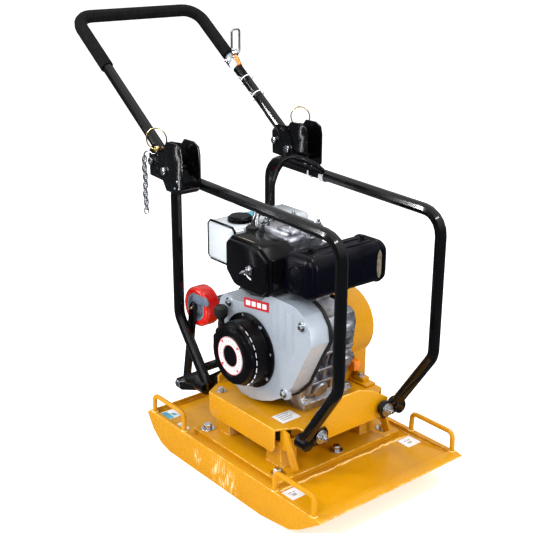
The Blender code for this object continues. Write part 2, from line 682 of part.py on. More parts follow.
def make_throttle():
    turn = Matrix.Rotation(HANDLE_SLOPE - math.pi / 2, 4, "Y")
    middle = on_handle(CLAMP_ALONG, HANDLE_Y)
    half = CLAMP_WIDTH / 2
    bore = TUBE_RADIUS + GAP
    clamp = ring("throttle_clamp", (0, 0, 0), "Z", bore + CLAMP_SKIN, bore, -half, half, STEEL)
    post_low = bore + 1 * MM
    post_high = bore + CLAMP_SKIN + 16 * MM
    post = block("clamp_post", (post_low, -5 * MM, -8 * MM), (post_high, 5 * MM, 8 * MM), STEEL)
    pivot_up = bore + CLAMP_SKIN + 9 * MM
    hole = rod("lever_hole", (pivot_up, 0, 0), "Y", LEVER_ROD + SLIDE, -9 * MM, 9 * MM, STEEL, (0, 0, 0))
    join(clamp, post)
    cut(clamp, hole)
    for obj in (clamp, post, hole):
        obj.matrix_world = Matrix.Translation(middle) @ turn
    hinge = on_handle(CLAMP_ALONG, HANDLE_Y, pivot_up)
    top = hinge + Vector((0, 0, LEVER_LENGTH))
    side = Vector((0, 13 * MM, 0))
    corners = [hinge - side, hinge + side, top + side, top - side, hinge - side + Vector((0, 0, 12 * MM))]
    tube("throttle_lever", rounded(corners, 6 * MM, 3), LEVER_ROD, STEEL, hinge, sides=2)


# ---------------------------------------------------------------- engine


def make_crankcase():
    low = ENGINE_FLOOR
    outline = [(-176, 0), (60, 0), (60, 18), (46, 30), (72, 160), (78, 204), (70, 228)]
    outline += [(56, 235), (-150, 235), (-172, 200), (-180, 150), (-172, 70), (-154, 34), (-176, 18)]
    outline = [(x * MM, low + min(z * MM, CASE_HEIGHT)) for x, z in outline]
    case = prism("crankcase", outline, "Y", CASING_BACK_Y + GAP, CASE_BACK_Y, ALLOY)
    middle = (CRANK_X, 0, CRANK_Z)
    drill(case, "case_bore", middle, "Y", CASE_BORE, CASING_BACK_Y - 9 * MM, CASE_BACK_Y + 9 * MM)


def casing_outline(inset):
    """The fan casing seen from the starter side: a volute that opens towards the cylinder."""
    points = [(-199, 353), (-192, 297), (-168, 246), (-135, 215), (-104, 202), (-64, 202), (-26, 211)]
    points += [(14, 227), (48, 248), (83, 287), (122, 364), (148, 410), (142, 444), (120, 472), (98, 484)]
    points += [(79, 488), (9, 489), (-14, 480), (-45, 450), (-129, 438), (-169, 444), (-187, 428)]
    points += [(-197, 392)]
    middle = Vector((CRANK_X, CRANK_Z + 20 * MM))
    outline = []
    for x, z in points:
        point = Vector((x * MM, z * MM))
        outline.append(tuple(point - (point - middle).normalized() * inset))
    return outline


def make_fan_casing():
    casing = prism("fan_casing", casing_outline(0), "Y", CASING_FRONT_Y, CASING_BACK_Y, GREY)
    inside = casing_outline(CASING_SKIN)
    cut(casing, prism("fan_room", inside, "Y", CASING_FRONT_Y + CASING_SKIN, 0, GREY))
    middle = (CRANK_X, 0, CRANK_Z)
    mouth = STARTER_FLANGE - 10 * MM
    cut(casing, rod("starter_mouth", middle, "Y", mouth, CASING_FRONT_Y - 9 * MM, CASING_BACK_Y, GREY))


def make_recoil_starter():
    back = CASING_FRONT_Y - GAP
    face = back - STARTER_DEPTH
    rim = STARTER_FLANGE
    skin = STARTER_SKIN
    profile = [
        (0, face),
        (STARTER_FACE - 8 * MM, face),
        (STARTER_FACE, face + 6 * MM),
        (STARTER_FACE + 5 * MM, back - 20 * MM),
        (rim - 2 * MM, back - 8 * MM),
        (rim, back - 6 * MM),
        (rim, back),
        (STARTER_FACE - 2 * MM, back),
        (STARTER_FACE + 5 * MM - skin, back - 22 * MM),
        (STARTER_FACE - skin, face + 8 * MM),
        (STARTER_FACE - 10 * MM, face + skin),
        (0, face + skin),
    ]
    starter = turned("recoil_starter", profile, "Y", (CRANK_X, 0, CRANK_Z), SATIN, segments=40)
    middle = rope_exit()
    guide = ring("rope_guide", middle, "Z", 11 * MM, 4 * MM, -19 * MM, 19 * MM, SATIN, segments=16)
    join(starter, guide)


def rope_exit():
    """The mouth that the starter rope leaves by, up and behind the starter."""
    x = CRANK_X - 0.93 * STARTER_FLANGE
    return Vector((x, CASING_FRONT_Y - 22 * MM, CRANK_Z + 14 * MM))


def make_starter_grip():
    middle = rope_exit() + Vector((0, 0, 20 * MM))
    profile = [(0, 0), (6, 0), (9, 4), (9, 14), (7, 22), (15, 30), (17, 38), (17, 52), (12, 58), (0, 58)]
    profile = [(r * MM, t * MM) for r, t in profile]
    turned("starter_grip", profile, "Z", middle, RUBBER, segments=16)


def make_crankshaft():
    middle = (CRANK_X, 0, CRANK_Z)
    shaft_end = BELT_Y + BELT_WIDTH / 2 + RIM_SKIN + 6 * MM
    rod("crankshaft", middle, "Y", SHAFT_RADIUS, CASING_FRONT_Y - 12 * MM, shaft_end, STEEL)
    bore = SHAFT_RADIUS + GAP
    low = CASING_FRONT_Y + CASING_SKIN + 5 * MM
    high = CASING_BACK_Y - 10 * MM
    step = 0.45 * FLYWHEEL_RADIUS
    profile = [(bore, low), (FLYWHEEL_RADIUS, low), (FLYWHEEL_RADIUS, high), (step, high)]
    profile += [(step, high - 14 * MM), (bore, high - 14 * MM)]
    turned("flywheel", profile, "Y", middle, ALLOY, segments=36)


def make_cylinder():
    low = CASE_TOP + GAP
    high = low + CYLINDER_HEIGHT
    fins = 9
    pitch = (high - low) / (2 * fins + 1)
    tip = CRANK_X + CYLINDER_HALF
    root = tip - FIN_DEPTH
    right = []
    for fin in range(fins + 1):
        right += [(tip, low + 2 * fin * pitch), (tip, low + (2 * fin + 1) * pitch)]
        if fin < fins:
            right += [(root, low + (2 * fin + 1) * pitch), (root, low + (2 * fin + 2) * pitch)]
    left = [(2 * CRANK_X - x, z) for x, z in reversed(right)]
    prism("cylinder", right + left, "Y", -56 * MM, 76 * MM, ALLOY)


def make_rocker_cover():
    low = CASE_TOP + GAP + CYLINDER_HEIGHT + GAP
    half = CYLINDER_HALF - 4 * MM
    size = ((CRANK_X - half, -54 * MM, low), (CRANK_X + half, 56 * MM, low + COVER_HEIGHT))
    block("rocker_cover", size[0], size[1], ALLOY, round_edges=9 * MM)


def rounded_box(name, middle, size, radius, finish):
    low = [m - s / 2 for m, s in zip(middle, size)]
    high = [m + s / 2 for m, s in zip(middle, size)]
    return block(name, low, high, finish, round_edges=radius)


def make_engine_boxes():
    rounded_box("fuel_tank", TANK_MIDDLE, TANK_SIZE, 10 * MM, WHITE)
    rounded_box("muffler", MUFFLER_MIDDLE, MUFFLER_SIZE, 14 * MM, SATIN)
    rounded_box("air_cleaner", CLEANER_MIDDLE, CLEANER_SIZE, 12 * MM, BLACK)
    top = TANK_MIDDLE[2] + TANK_SIZE[2] / 2 + GAP
    middle = (TANK_MIDDLE[0] + 10 * MM, -66 * MM, top)
    profile = [(0, 0), (CAP_RADIUS, 0), (CAP_RADIUS, 10), (CAP_RADIUS - 5 * MM, 15), (0, 15)]
    profile = [(r, t * MM if t else 0) for r, t in profile]
    turned("fuel_cap", profile, "Z", middle, BLACK, segments=24)


def guard_outline(inset):
    """The belt guard: round over the clutch, with a straight neck down to the deck."""
    radius = GUARD_RADIUS - inset
    half = GUARD_NECK / 2 - inset
    low = ENGINE_FLOOR if not inset else ENGINE_FLOOR - 9 * MM
    lean = math.degrees(math.acos(half / radius))
    top = arc((CRANK_X, CRANK_Z), radius, -lean, 180 + lean, 22)
    return top + [(CRANK_X - half, low), (CRANK_X + half, low)]


def make_belt_guard():
    guard = prism("belt_guard", guard_outline(0), "Y", GUARD_INNER_Y, GUARD_OUTER_Y, YELLOW)
    room = guard_outline(GUARD_SKIN)
    cut(guard, prism("guard_room", room, "Y", GUARD_INNER_Y - 9 * MM, GUARD_OUTER_Y - GUARD_SKIN, YELLOW))


# ---------------------------------------------------------------- transport wheels


def make_wheel_carrier():
    foot = Vector((CARRIER_X, 0, CARRIER_Z))
    head = Vector((AXLE_X, 0, AXLE_Z))
    way = (head - foot).normalized()
    across = Vector((way.z, 0, -way.x)) * ARM_WIDTH / 2
    beyond = way * (ARM_WIDTH / 2 + 2 * MM)
    ends = [foot - beyond - across / 2, foot - beyond + across / 2, foot + across]
    ends += [head + across, head + beyond + across / 2, head + beyond - across / 2, head - across]
    ends += [foot - across]
    outline = [(point.x, point.z) for point in ends]
    reach = ARM_Y + ARM_SKIN
    middle = (AXLE_X, 0, AXLE_Z)
    centre = (CARRIER_X, 0, CARRIER_Z)
    end = reach + 1 * MM
    half = ARM_Y - 3 * MM - WHEEL_WIDTH - 3 * MM
    thick = AXLE_RADIUS + 5 * MM
    axle = [(0, -end), (AXLE_RADIUS, -end), (AXLE_RADIUS, -half), (thick, -half), (thick, half)]
    axle += [(AXLE_RADIUS, half), (AXLE_RADIUS, end), (0, end)]
    carrier = turned("wheel_carrier", axle, "Y", middle, BLACK, centre, 24)
    for side in (-1, 1):
        low, high = sorted((side * ARM_Y, side * reach))
        join(carrier, prism("arm", outline, "Y", low, high, BLACK, centre))
    drill(carrier, "carrier_holes", centre, "Y", PIVOT_RADIUS + SLIDE, -2 * reach, 2 * reach)


def make_wheel(side_name, side):
    middle = (AXLE_X, side * (WHEEL_Y + WHEEL_WIDTH / 2), AXLE_Z)
    half = WHEEL_WIDTH / 2
    hub = [(AXLE_RADIUS + SLIDE, -half), (14 * MM, -half), (16 * MM, 8 * MM - half)]
    hub += [(HUB_RADIUS - 8 * MM, 8 * MM - half), (HUB_RADIUS - 4 * MM, -half), (HUB_RADIUS, -half)]
    hub += [(HUB_RADIUS, half), (HUB_RADIUS - 4 * MM, half), (HUB_RADIUS - 8 * MM, half - 8 * MM)]
    hub += [(16 * MM, half - 8 * MM), (14 * MM, half), (AXLE_RADIUS + SLIDE, half)]
    turned(f"wheel_hub_{side_name}", hub, "Y", middle, GREY, segments=28)
    bore = HUB_RADIUS + GAP
    edge = WHEEL_RADIUS - 5 * MM
    tyre = [(bore, -half), (edge, -half), (WHEEL_RADIUS, 6 * MM - half), (WHEEL_RADIUS, half - 6 * MM)]
    tyre += [(edge, half), (bore, half)]
    turned(f"tyre_{side_name}", tyre, "Y", middle, RED, segments=32)


def make_carrier_bolt(side_name, side):
    inner = ARM_Y - GAP
    outer = FRAME_Y + 6 * MM + GAP
    centre = (CARRIER_X, 0, CARRIER_Z)
    bolt(f"carrier_bolt_{side_name}", centre, side, PIVOT_RADIUS, 10 * MM, inner, outer, STEEL)


# ---------------------------------------------------------------- throttle cable


def make_throttle_cable():
    """Two lengths that meet on the handle's pivot line: one on the handle, one down to the engine."""
    y = BRACKET_INNER_Y - 16 * MM
    upper = [
        on_handle(CLAMP_ALONG - 16 * MM, HANDLE_Y, 22 * MM),
        on_handle(CLAMP_ALONG - 50 * MM, HANDLE_Y - 6 * MM, 19 * MM),
        on_handle(230 * MM, HANDLE_Y - 12 * MM, 17 * MM),
        on_handle(170 * MM, HANDLE_Y - 18 * MM, 12 * MM),
        on_handle(120 * MM, HANDLE_Y - 30 * MM, 14 * MM),
        on_handle(84 * MM, y + 2 * MM, 24 * MM),
        on_handle(44 * MM, y, 24 * MM),
        on_handle(14 * MM, y, 8 * MM),
        on_handle(0, y, 0),
    ]
    lower = [
        (PIVOT_X + 5 * MM, y, PIVOT_Z - 4 * MM),
        (-258 * MM, 136 * MM, 730 * MM),
        (-232 * MM, 129 * MM, 724 * MM),
        (-190 * MM, 127 * MM, 721 * MM),
        (-145 * MM, 127 * MM, 718 * MM),
        (-108 * MM, 125 * MM, 718 * MM),
        (-95 * MM, 117 * MM, 726 * MM),
        (-108 * MM, 110 * MM, 736 * MM),
        (-145 * MM, 107 * MM, 744 * MM),
        (-184 * MM, 102 * MM, 744 * MM),
        (-208 * MM, 88 * MM, 728 * MM),
        (-212 * MM, 68 * MM, 698 * MM),
        (-200 * MM, 46 * MM, 664 * MM),
        (-182 * MM, 26 * MM, 641 * MM),
        (-158 * MM, 6 * MM, 633 * MM),
        (-135 * MM, -10 * MM, 622 * MM),
        (-132 * MM, -22 * MM, 596 * MM),
        (-132 * MM, -26 * MM, 572 * MM),
    ]
    tube("throttle_cable_upper", upper, CABLE_RADIUS, RUBBER, PIVOT, sides=2)
    tube("throttle_cable_lower", lower, CABLE_RADIUS, RUBBER, sides=2)


# ---------------------------------------------------------------- assembly

make_base_plate()
make_cover_plate()
for side_name, side in SIDES.items():
    make_carry_handle(f"carry_handle_front_{side_name}", CARRY_FRONT_X, side)
    make_carry_handle(f"carry_handle_rear_{side_name}", CARRY_REAR_X, side)
make_exciter_bed()
make_exciter()
make_belt_drive()
make_rubber_mounts()
make_engine_deck()
make_cross_bar()
for side_name, side in SIDES.items():
    make_frame_loop(f"frame_loop_{side_name}", side)
    make_bracket(side_name, side)
    make_bracket_bolts(side_name, side)
    make_lock_pin(side_name, side)
    make_wheel(side_name, side)
    make_carrier_bolt(side_name, side)
make_handle()
make_throttle()
make_crankcase()
make_fan_casing()
make_recoil_starter()
make_starter_grip()
make_crankshaft()
make_cylinder()
make_rocker_cover()
make_engine_boxes()
make_belt_guard()
make_wheel_carrier()
make_throttle_cable()
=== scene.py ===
"""How the plate compactor looks: paint, castings, rubber, fasteners, welds, labels and cable over the model.

Metres, +Z up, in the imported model's frame: +X is the direction of travel, -Y the recoil starter's side."""

import json
import math

import bmesh
import bpy
from mathutils import Matrix, Vector, noise


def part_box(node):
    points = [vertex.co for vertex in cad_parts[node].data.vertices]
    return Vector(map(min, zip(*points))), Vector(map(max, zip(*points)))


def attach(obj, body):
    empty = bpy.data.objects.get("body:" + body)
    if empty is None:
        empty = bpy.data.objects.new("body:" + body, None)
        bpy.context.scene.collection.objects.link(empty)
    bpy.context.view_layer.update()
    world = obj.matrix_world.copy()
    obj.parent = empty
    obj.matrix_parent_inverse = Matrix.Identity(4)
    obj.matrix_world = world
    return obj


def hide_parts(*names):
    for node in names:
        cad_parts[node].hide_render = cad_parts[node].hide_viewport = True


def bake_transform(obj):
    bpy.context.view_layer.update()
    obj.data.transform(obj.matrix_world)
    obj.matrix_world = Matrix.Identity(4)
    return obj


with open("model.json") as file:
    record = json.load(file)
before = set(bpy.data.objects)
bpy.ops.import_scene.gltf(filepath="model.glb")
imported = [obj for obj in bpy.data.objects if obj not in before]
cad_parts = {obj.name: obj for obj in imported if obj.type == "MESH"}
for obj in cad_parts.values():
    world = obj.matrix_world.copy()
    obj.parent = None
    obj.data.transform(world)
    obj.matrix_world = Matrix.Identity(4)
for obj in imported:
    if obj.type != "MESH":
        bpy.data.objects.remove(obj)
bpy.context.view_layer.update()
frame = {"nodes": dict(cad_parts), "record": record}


# ---------------------------------------------------------------- camera, lights and floor
# The studio: a plain pale floor, a white room that darkens towards the ground, and narrow lights that draw
# thin bright streaks on the bent tubes. The view is from the front and the recoil starter's side.


def sight(azimuth, elevation):
    """Unit vector from the object towards a viewer at these angles."""
    flat = math.cos(elevation)
    return Vector((math.sin(azimuth) * flat, -math.cos(azimuth) * flat, math.sin(elevation)))


def aimed(data, place, back, roll=0.0):
    """A camera or a light at this place, with its back towards the direction given."""
    obj = bpy.data.objects.new(data.name, data)
    turn = back.to_track_quat("Z", "Y").to_matrix().to_4x4()
    obj.matrix_world = Matrix.Translation(place) @ turn @ Matrix.Rotation(roll, 4, "Z")
    bpy.context.collection.objects.link(obj)
    return obj


def add_light(name, place, power, wide, tall):
    """A rectangular lamp, turned to the middle of the machine."""
    lamp = bpy.data.lights.new(name, "AREA")
    lamp.shape = "RECTANGLE"
    lamp.size = wide
    lamp.size_y = tall
    lamp.energy = power
    place = Vector(place)
    aimed(lamp, place, (place - Vector((-0.15, 0, 0.45))).normalized())


lens = bpy.data.cameras.new("camera")
lens.lens = 67.6
lens.sensor_width = 36
back = sight(math.radians(50.83), math.radians(19.31))
bpy.context.scene.camera = aimed(lens, Vector((1.650, -1.477, 1.306)), back, math.radians(0.12))
world = bpy.data.worlds.new("studio")
world.use_nodes = True
tree = world.node_tree
sky = tree.nodes["Background"]
height = tree.nodes.new("ShaderNodeSeparateXYZ")
tree.links.new(tree.nodes.new("ShaderNodeTexCoord").outputs["Generated"], height.inputs[0])
ramp = tree.nodes.new("ShaderNodeValToRGB")
ramp.color_ramp.elements[0].position = 0.08
ramp.color_ramp.elements[0].color = (0.10, 0.11, 0.12, 1)
ramp.color_ramp.elements[1].position = 0.62
ramp.color_ramp.elements[1].color = (1, 1, 1, 1)
tree.links.new(height.outputs[2], ramp.inputs[0])
seen = tree.nodes.new("ShaderNodeMix")
seen.data_type = "RGBA"
tree.links.new(tree.nodes.new("ShaderNodeLightPath").outputs["Is Camera Ray"], seen.inputs[0])
tree.links.new(ramp.outputs[0], seen.inputs[6])
seen.inputs[7].default_value = (1, 1, 1, 1)
tree.links.new(seen.outputs[2], sky.inputs["Color"])
sky.inputs["Strength"].default_value = 0.88
bpy.context.scene.world = world
bpy.context.scene.view_settings.view_transform = "Standard"
add_light("key", (1.3, -2.4, 2.5), 20, 0.3, 0.3)
add_light("streak", (-1.6, -2.3, 1.9), 46, 0.05, 1.8)
add_light("top", (0.2, 0.4, 2.9), 26, 1.2, 0.5)
add_light("side", (2.6, 0.9, 1.2), 30, 0.05, 1.8)
add_light("low left", (-1.9, -2.0, 0.42), 4, 0.04, 1.3)
add_light("low right", (2.1, -1.6, 0.42), 4, 0.04, 1.3)
add_light("overhead", (0.9, -1.3, 2.6), 20, 1.6, 0.06)
ground = bmesh.new()
bmesh.ops.create_grid(ground, x_segments=1, y_segments=1, size=30)
floor = bpy.data.meshes.new("floor")
ground.to_mesh(floor)
ground.free()
paper = bpy.data.materials.new("floor_paper")
paper.use_nodes = True
shader = paper.node_tree.nodes["Principled BSDF"]
shader.inputs["Base Color"].default_value = (0.93, 0.93, 0.93, 1)
shader.inputs["Roughness"].default_value = 0.9
shader.inputs["Emission Color"].default_value = (1, 1, 1, 1)
shader.inputs["Emission Strength"].default_value = 0.45
floor.materials.append(paper)
obj = bpy.data.objects.new("floor", floor)
bpy.context.collection.objects.link(obj)
obj.visible_glossy = False


# ---------------------------------------------------------------- base plate
# A hull of thick steel sheet, bent up at both ends and welded to side walls, with a cover plate welded in
# behind the front seam. It is painted amber and scuffed on the starter's side, where it has rubbed a kerb.

record = frame["record"]
MM = 0.001
BODY_OF = {node: body for body, nodes in record["behaviour"]["bodies"].items() for node in nodes}
SIDES = {"right": -1, "left": 1}


def node(tree, kind, **settings):
    """A new shader node with these settings."""
    made = tree.nodes.new(kind)
    for name, value in settings.items():
        setattr(made, name, value)
    return made


def sums(tree, operation, first, second, clamp=False):
    """One step of arithmetic on two numbers or sockets."""
    made = node(tree, "ShaderNodeMath", operation=operation, use_clamp=clamp)
    for socket, value in zip(made.inputs, (first, second)):
        if isinstance(value, (int, float)):
            socket.default_value = value
        else:
            tree.links.new(value, socket)
    return made.outputs[0]


def mixed(tree, amount, first, second):
    """The first colour, covered by the second as far as amount says."""
    made = node(tree, "ShaderNodeMix", data_type="RGBA")
    tree.links.new(amount, made.inputs[0])
    tree.links.new(first, made.inputs[6])
    tree.links.new(second, made.inputs[7])
    return made.outputs[2]


def grain(tree, place, size, detail=3.0, rough=0.55):
    """Noise whose blotches are about this large, as a socket from 0 to 1."""
    made = node(tree, "ShaderNodeTexNoise")
    made.inputs["Detail"].default_value = detail
    made.inputs["Roughness"].default_value = rough
    tree.links.new(sums(tree, "DIVIDE", 1.0, size), made.inputs["Scale"])
    tree.links.new(place, made.inputs["Vector"])
    return made.outputs["Fac"]


def step_at(tree, value, low, high):
    """A ramp from 0 at low to 1 at high."""
    made = node(tree, "ShaderNodeMapRange")
    tree.links.new(value, made.inputs[0])
    made.inputs[1].default_value = low
    made.inputs[2].default_value = high
    return made.outputs[0]


def make_finish_group():
    """Blotches in the colour, wear on the rounded edges, dust on what faces up, and a fine height grain."""
    tree = bpy.data.node_groups.new("finish", "ShaderNodeTree")
    floats = ("Blotch", "Blotch Size", "Edge Wear", "Dust", "Roughness", "Swing", "Grain Size", "Metallic",
              "Specks")
    for name in ("Colour", "Second", "Worn", "Dusty"):
        tree.interface.new_socket(name=name, in_out="INPUT", socket_type="NodeSocketColor")
    for name in floats:
        tree.interface.new_socket(name=name, in_out="INPUT", socket_type="NodeSocketFloat")
    tree.interface.new_socket(name="Colour", in_out="OUTPUT", socket_type="NodeSocketColor")
    for name in ("Roughness", "Metallic", "Height"):
        tree.interface.new_socket(name=name, in_out="OUTPUT", socket_type="NodeSocketFloat")
    given = node(tree, "NodeGroupInput").outputs
    place = node(tree, "ShaderNodeTexCoord").outputs["Object"]
    broad = grain(tree, place, given["Blotch Size"])
    blotch = sums(tree, "MULTIPLY", step_at(tree, broad, 0.35, 0.65), given["Blotch"])
    colour = mixed(tree, blotch, given["Colour"], given["Second"])
    patchy = step_at(tree, grain(tree, place, 0.009, 4.0), 0.42, 0.60)
    edge = node(tree, "ShaderNodeAttribute", attribute_name="edge").outputs["Fac"]
    worn_and_highlight = sums(tree, "MULTIPLY", sums(tree, "MULTIPLY", edge, patchy), given["Edge Wear"], True)
    colour = mixed(tree, worn_and_highlight, colour, given["Worn"])
    facing = node(tree, "ShaderNodeSeparateXYZ")
    tree.links.new(node(tree, "ShaderNodeNewGeometry").outputs["Normal"], facing.inputs[0])
    upward = step_at(tree, facing.outputs[2], 0.3, 1.0)
    settled = step_at(tree, grain(tree, place, 0.035, 5.0, 0.65), 0.38, 0.72)
    dust = sums(tree, "MULTIPLY", sums(tree, "MULTIPLY", upward, settled), given["Dust"], True)
    speck = step_at(tree, grain(tree, place, 0.0035, 1.0), 0.70, 0.76)
    dust = sums(tree, "MAXIMUM", dust, sums(tree, "MULTIPLY", speck, given["Specks"]))
    colour = mixed(tree, dust, colour, given["Dusty"])
    fine = grain(tree, place, given["Grain Size"], 4.0)
    swing = sums(tree, "MULTIPLY", sums(tree, "SUBTRACT", fine, 0.5), given["Swing"])
    rough = sums(tree, "ADD", sums(tree, "ADD", given["Roughness"], swing),
                 sums(tree, "MULTIPLY", dust, 0.25), True)
    metal = sums(tree, "MULTIPLY", given["Metallic"], sums(tree, "SUBTRACT", 1.0, dust), True)
    out = node(tree, "NodeGroupOutput")
    for name, socket in (("Colour", colour), ("Roughness", rough), ("Metallic", metal), ("Height", fine)):
        tree.links.new(socket, out.inputs[name])
    return tree


FINISH = make_finish_group()


def surface(name, colour, second=None, worn_and_highlight=(0.6, 0.6, 0.6), dusty=(0.5, 0.47, 0.42), bump=0.1, coat=0.0,
            shine=0.5, **values):
    """A material of the finish group, its bump and its clear coat. Other values are the inputs of the group."""
    made = bpy.data.materials.new(name)
    made.use_nodes = True
    tree = made.node_tree
    shader = tree.nodes["Principled BSDF"]
    group = node(tree, "ShaderNodeGroup", node_tree=FINISH)
    settings = {"Blotch": 0.5, "Blotch Size": 0.06, "Edge Wear": 0.0, "Dust": 0.0, "Roughness": 0.4}
    settings.update({"Swing": 0.1, "Grain Size": 0.002, "Metallic": 0.0, "Specks": 0.0})
    settings.update({key.replace("_", " ").title(): value for key, value in values.items()})
    for key, value in settings.items():
        group.inputs[key].default_value = value
    for key, value in (("Colour", colour), ("Second", second or colour), ("Worn", worn_and_highlight), ("Dusty", dusty)):
        group.inputs[key].default_value = (*value, 1)
    raised = node(tree, "ShaderNodeBump")
    raised.inputs["Strength"].default_value = bump
    raised.inputs["Distance"].default_value = 0.0006
    tree.links.new(group.outputs["Height"], raised.inputs["Height"])
    tree.links.new(group.outputs["Colour"], shader.inputs["Base Color"])
    tree.links.new(group.outputs["Roughness"], shader.inputs["Roughness"])
    tree.links.new(group.outputs["Metallic"], shader.inputs["Metallic"])
    tree.links.new(raised.outputs[0], shader.inputs["Normal"])
    shader.inputs["Coat Weight"].default_value = coat
    shader.inputs["Coat Roughness"].default_value = 0.12
    shader.inputs["Specular IOR Level"].default_value = shine
    return made


AMBER = surface(
    "amber_gloss", (0.63, 0.285, 0.001), (0.55, 0.228, 0.001), (1.0, 0.62, 0.16), (0.58, 0.32, 0.03), 0.05,
    0.14, 0.32,
    blotch_size=0.11, edge_wear=0.75, dust=0.2, roughness=0.28, swing=0.16, grain_size=0.004, specks=0.06,
)
WELD = surface(
    "painted_weld", (1.0, 0.72, 0.30), (0.84, 0.42, 0.02), (1.0, 0.75, 0.35), bump=0.8, coat=0.2,
    blotch=0.9, blotch_size=0.006, roughness=0.3, swing=0.3, grain_size=0.003,
)


def shown(name, shape, finish, body, sharp=35):
    """A piece from a bmesh in the model's frame, riding on a body. The bmesh is used up."""
    mesh = bpy.data.meshes.new(name)
    shape.to_mesh(mesh)
    shape.free()
    for each in finish if isinstance(finish, tuple) else (finish,):
        mesh.materials.append(each)
    mesh.shade_smooth()
    mesh.set_sharp_from_angle(angle=math.radians(sharp))
    obj = bpy.data.objects.new(name, mesh)
    bpy.context.collection.objects.link(obj)
    if body:
        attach(obj, body)
    return obj


def rounded(name, width, finish, segments=2, sharp=32):
    """The solid of a node with its hard edges rounded, and the rounding marked for wear."""
    shape = bmesh.new()
    shape.from_mesh(frame["nodes"][name].data)
    bmesh.ops.remove_doubles(shape, verts=shape.verts, dist=2e-6)
    flat = math.radians(0.6)
    bmesh.ops.dissolve_limit(shape, angle_limit=flat, verts=shape.verts, edges=shape.edges)
    bmesh.ops.connect_verts_concave(shape, faces=shape.faces)
    bend = math.radians(sharp)
    hard = [edge for edge in shape.edges if edge.is_manifold and edge.calc_face_angle() > bend]
    made = []
    if hard and width:
        made = bmesh.ops.bevel(
            shape, geom=hard, offset=width, segments=segments, profile=0.5,
            affect="EDGES", clamp_overlap=True, material=-1,
        )["faces"]
    layer = shape.loops.layers.float_color.new("edge")
    for face in shape.faces:
        for loop in face.loops:
            loop[layer] = (0, 0, 0, 1)
    for face in made:
        if face.is_valid:
            for loop in face.loops:
                loop[layer] = (1, 1, 1, 1)
    obj = shown(f"{name}_body", shape, finish, BODY_OF[name], 30)
    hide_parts(name)
    return obj


def joined(shape, made, finish=0):
    """Adds a finished piece to a shape. The piece is used up."""
    bmesh.ops.recalc_face_normals(made, faces=made.faces)
    for face in made.faces:
        face.material_index = finish
    mesh = bpy.data.meshes.new("made")
    made.to_mesh(mesh)
    made.free()
    shape.from_mesh(mesh)
    bpy.data.meshes.remove(mesh)


def add_tube(shape, path, radius, sides=10, closed=False):
    """A round bar along a path. The radius is a number or a function of the place from 0 to 1."""
    path = [Vector(point) for point in path]
    count = len(path)
    made = bmesh.new()
    rims = []
    for index, point in enumerate(path):
        before = path[index - 1] if index or closed else point
        after = path[(index + 1) % count] if index < count - 1 or closed else point
        way = (after - before).normalized()
        if not index:
            side = way.orthogonal().normalized()
        side = (side - way * side.dot(way)).normalized()
        thick = radius(index / (count - 1)) if callable(radius) else radius
        turn = Matrix((-way.cross(side), side, way)).transposed().to_4x4()
        place = Matrix.Translation(point) @ turn
        ring = bmesh.ops.create_circle(made, segments=sides, radius=thick, matrix=place)["verts"]
        rims.append(list(dict.fromkeys(edge for vert in ring for edge in vert.link_edges)))
    for low, high in zip(rims, rims[1:] + (rims[:1] if closed else [])):
        bmesh.ops.bridge_loops(made, edges=low + high)
    if not closed:
        bmesh.ops.holes_fill(made, edges=made.edges, sides=0)
    joined(shape, made)


def add_weld(shape, start, end, radius, pitch=4 * MM, wander=0.4):
    """A weld bead: a bar whose width ripples and wanders along the seam."""
    start, end = Vector(start), Vector(end)
    length = (end - start).length
    count = max(8, int(length / pitch * 4))
    path = []
    for index in range(count + 1):
        point = start.lerp(end, index / count)
        shift = noise.noise_vector(point * 60) * radius * wander
        path.append(point + shift)

    def thick(t):
        ripple = 0.82 + 0.18 * math.cos(math.tau * t * length / pitch)
        return radius * ripple * (0.85 + 0.5 * noise.noise(start.lerp(end, t) * 45))

    add_tube(shape, path, thick, 8)


PLATE_HIGH = Vector(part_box("base_plate")[1])
COVER_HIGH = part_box("cover_plate")[1]
SEAM_X = 0.141
COVER_Z = 0.0735


def scuffed_amber():
    """The amber paint with pale upright scratches in two patches of the side wall."""
    made = AMBER.copy()
    made.name = "amber_scuffed"
    tree = made.node_tree
    shader = tree.nodes["Principled BSDF"]
    group = next(item for item in tree.nodes if item.type == "GROUP")
    place = node(tree, "ShaderNodeTexCoord").outputs["Object"]
    stretched = node(tree, "ShaderNodeMapping")
    stretched.inputs["Scale"].default_value = (220, 1, 38)
    tree.links.new(place, stretched.inputs["Vector"])
    streaks = node(tree, "ShaderNodeTexNoise")
    streaks.inputs["Scale"].default_value = 1.0
    streaks.inputs["Detail"].default_value = 4.0
    tree.links.new(stretched.outputs[0], streaks.inputs["Vector"])
    patch = None
    for x, z, reach in ((-0.150, 0.042, 0.024), (-0.055, 0.038, 0.050), (-0.020, 0.030, 0.040)):
        far = node(tree, "ShaderNodeVectorMath", operation="DISTANCE")
        tree.links.new(place, far.inputs[0])
        far.inputs[1].default_value = (x, -0.230, z)
        near = step_at(tree, far.outputs["Value"], reach, reach * 0.35)
        patch = near if patch is None else sums(tree, "MAXIMUM", patch, near)
    marks = sums(tree, "MULTIPLY", step_at(tree, streaks.outputs["Fac"], 0.52, 0.60), patch, True)
    pale = node(tree, "ShaderNodeRGB")
    pale.outputs[0].default_value = (0.95, 0.68, 0.34, 1)
    tree.links.new(mixed(tree, marks, group.outputs["Colour"], pale.outputs[0]),
                   shader.inputs["Base Color"])
    return made


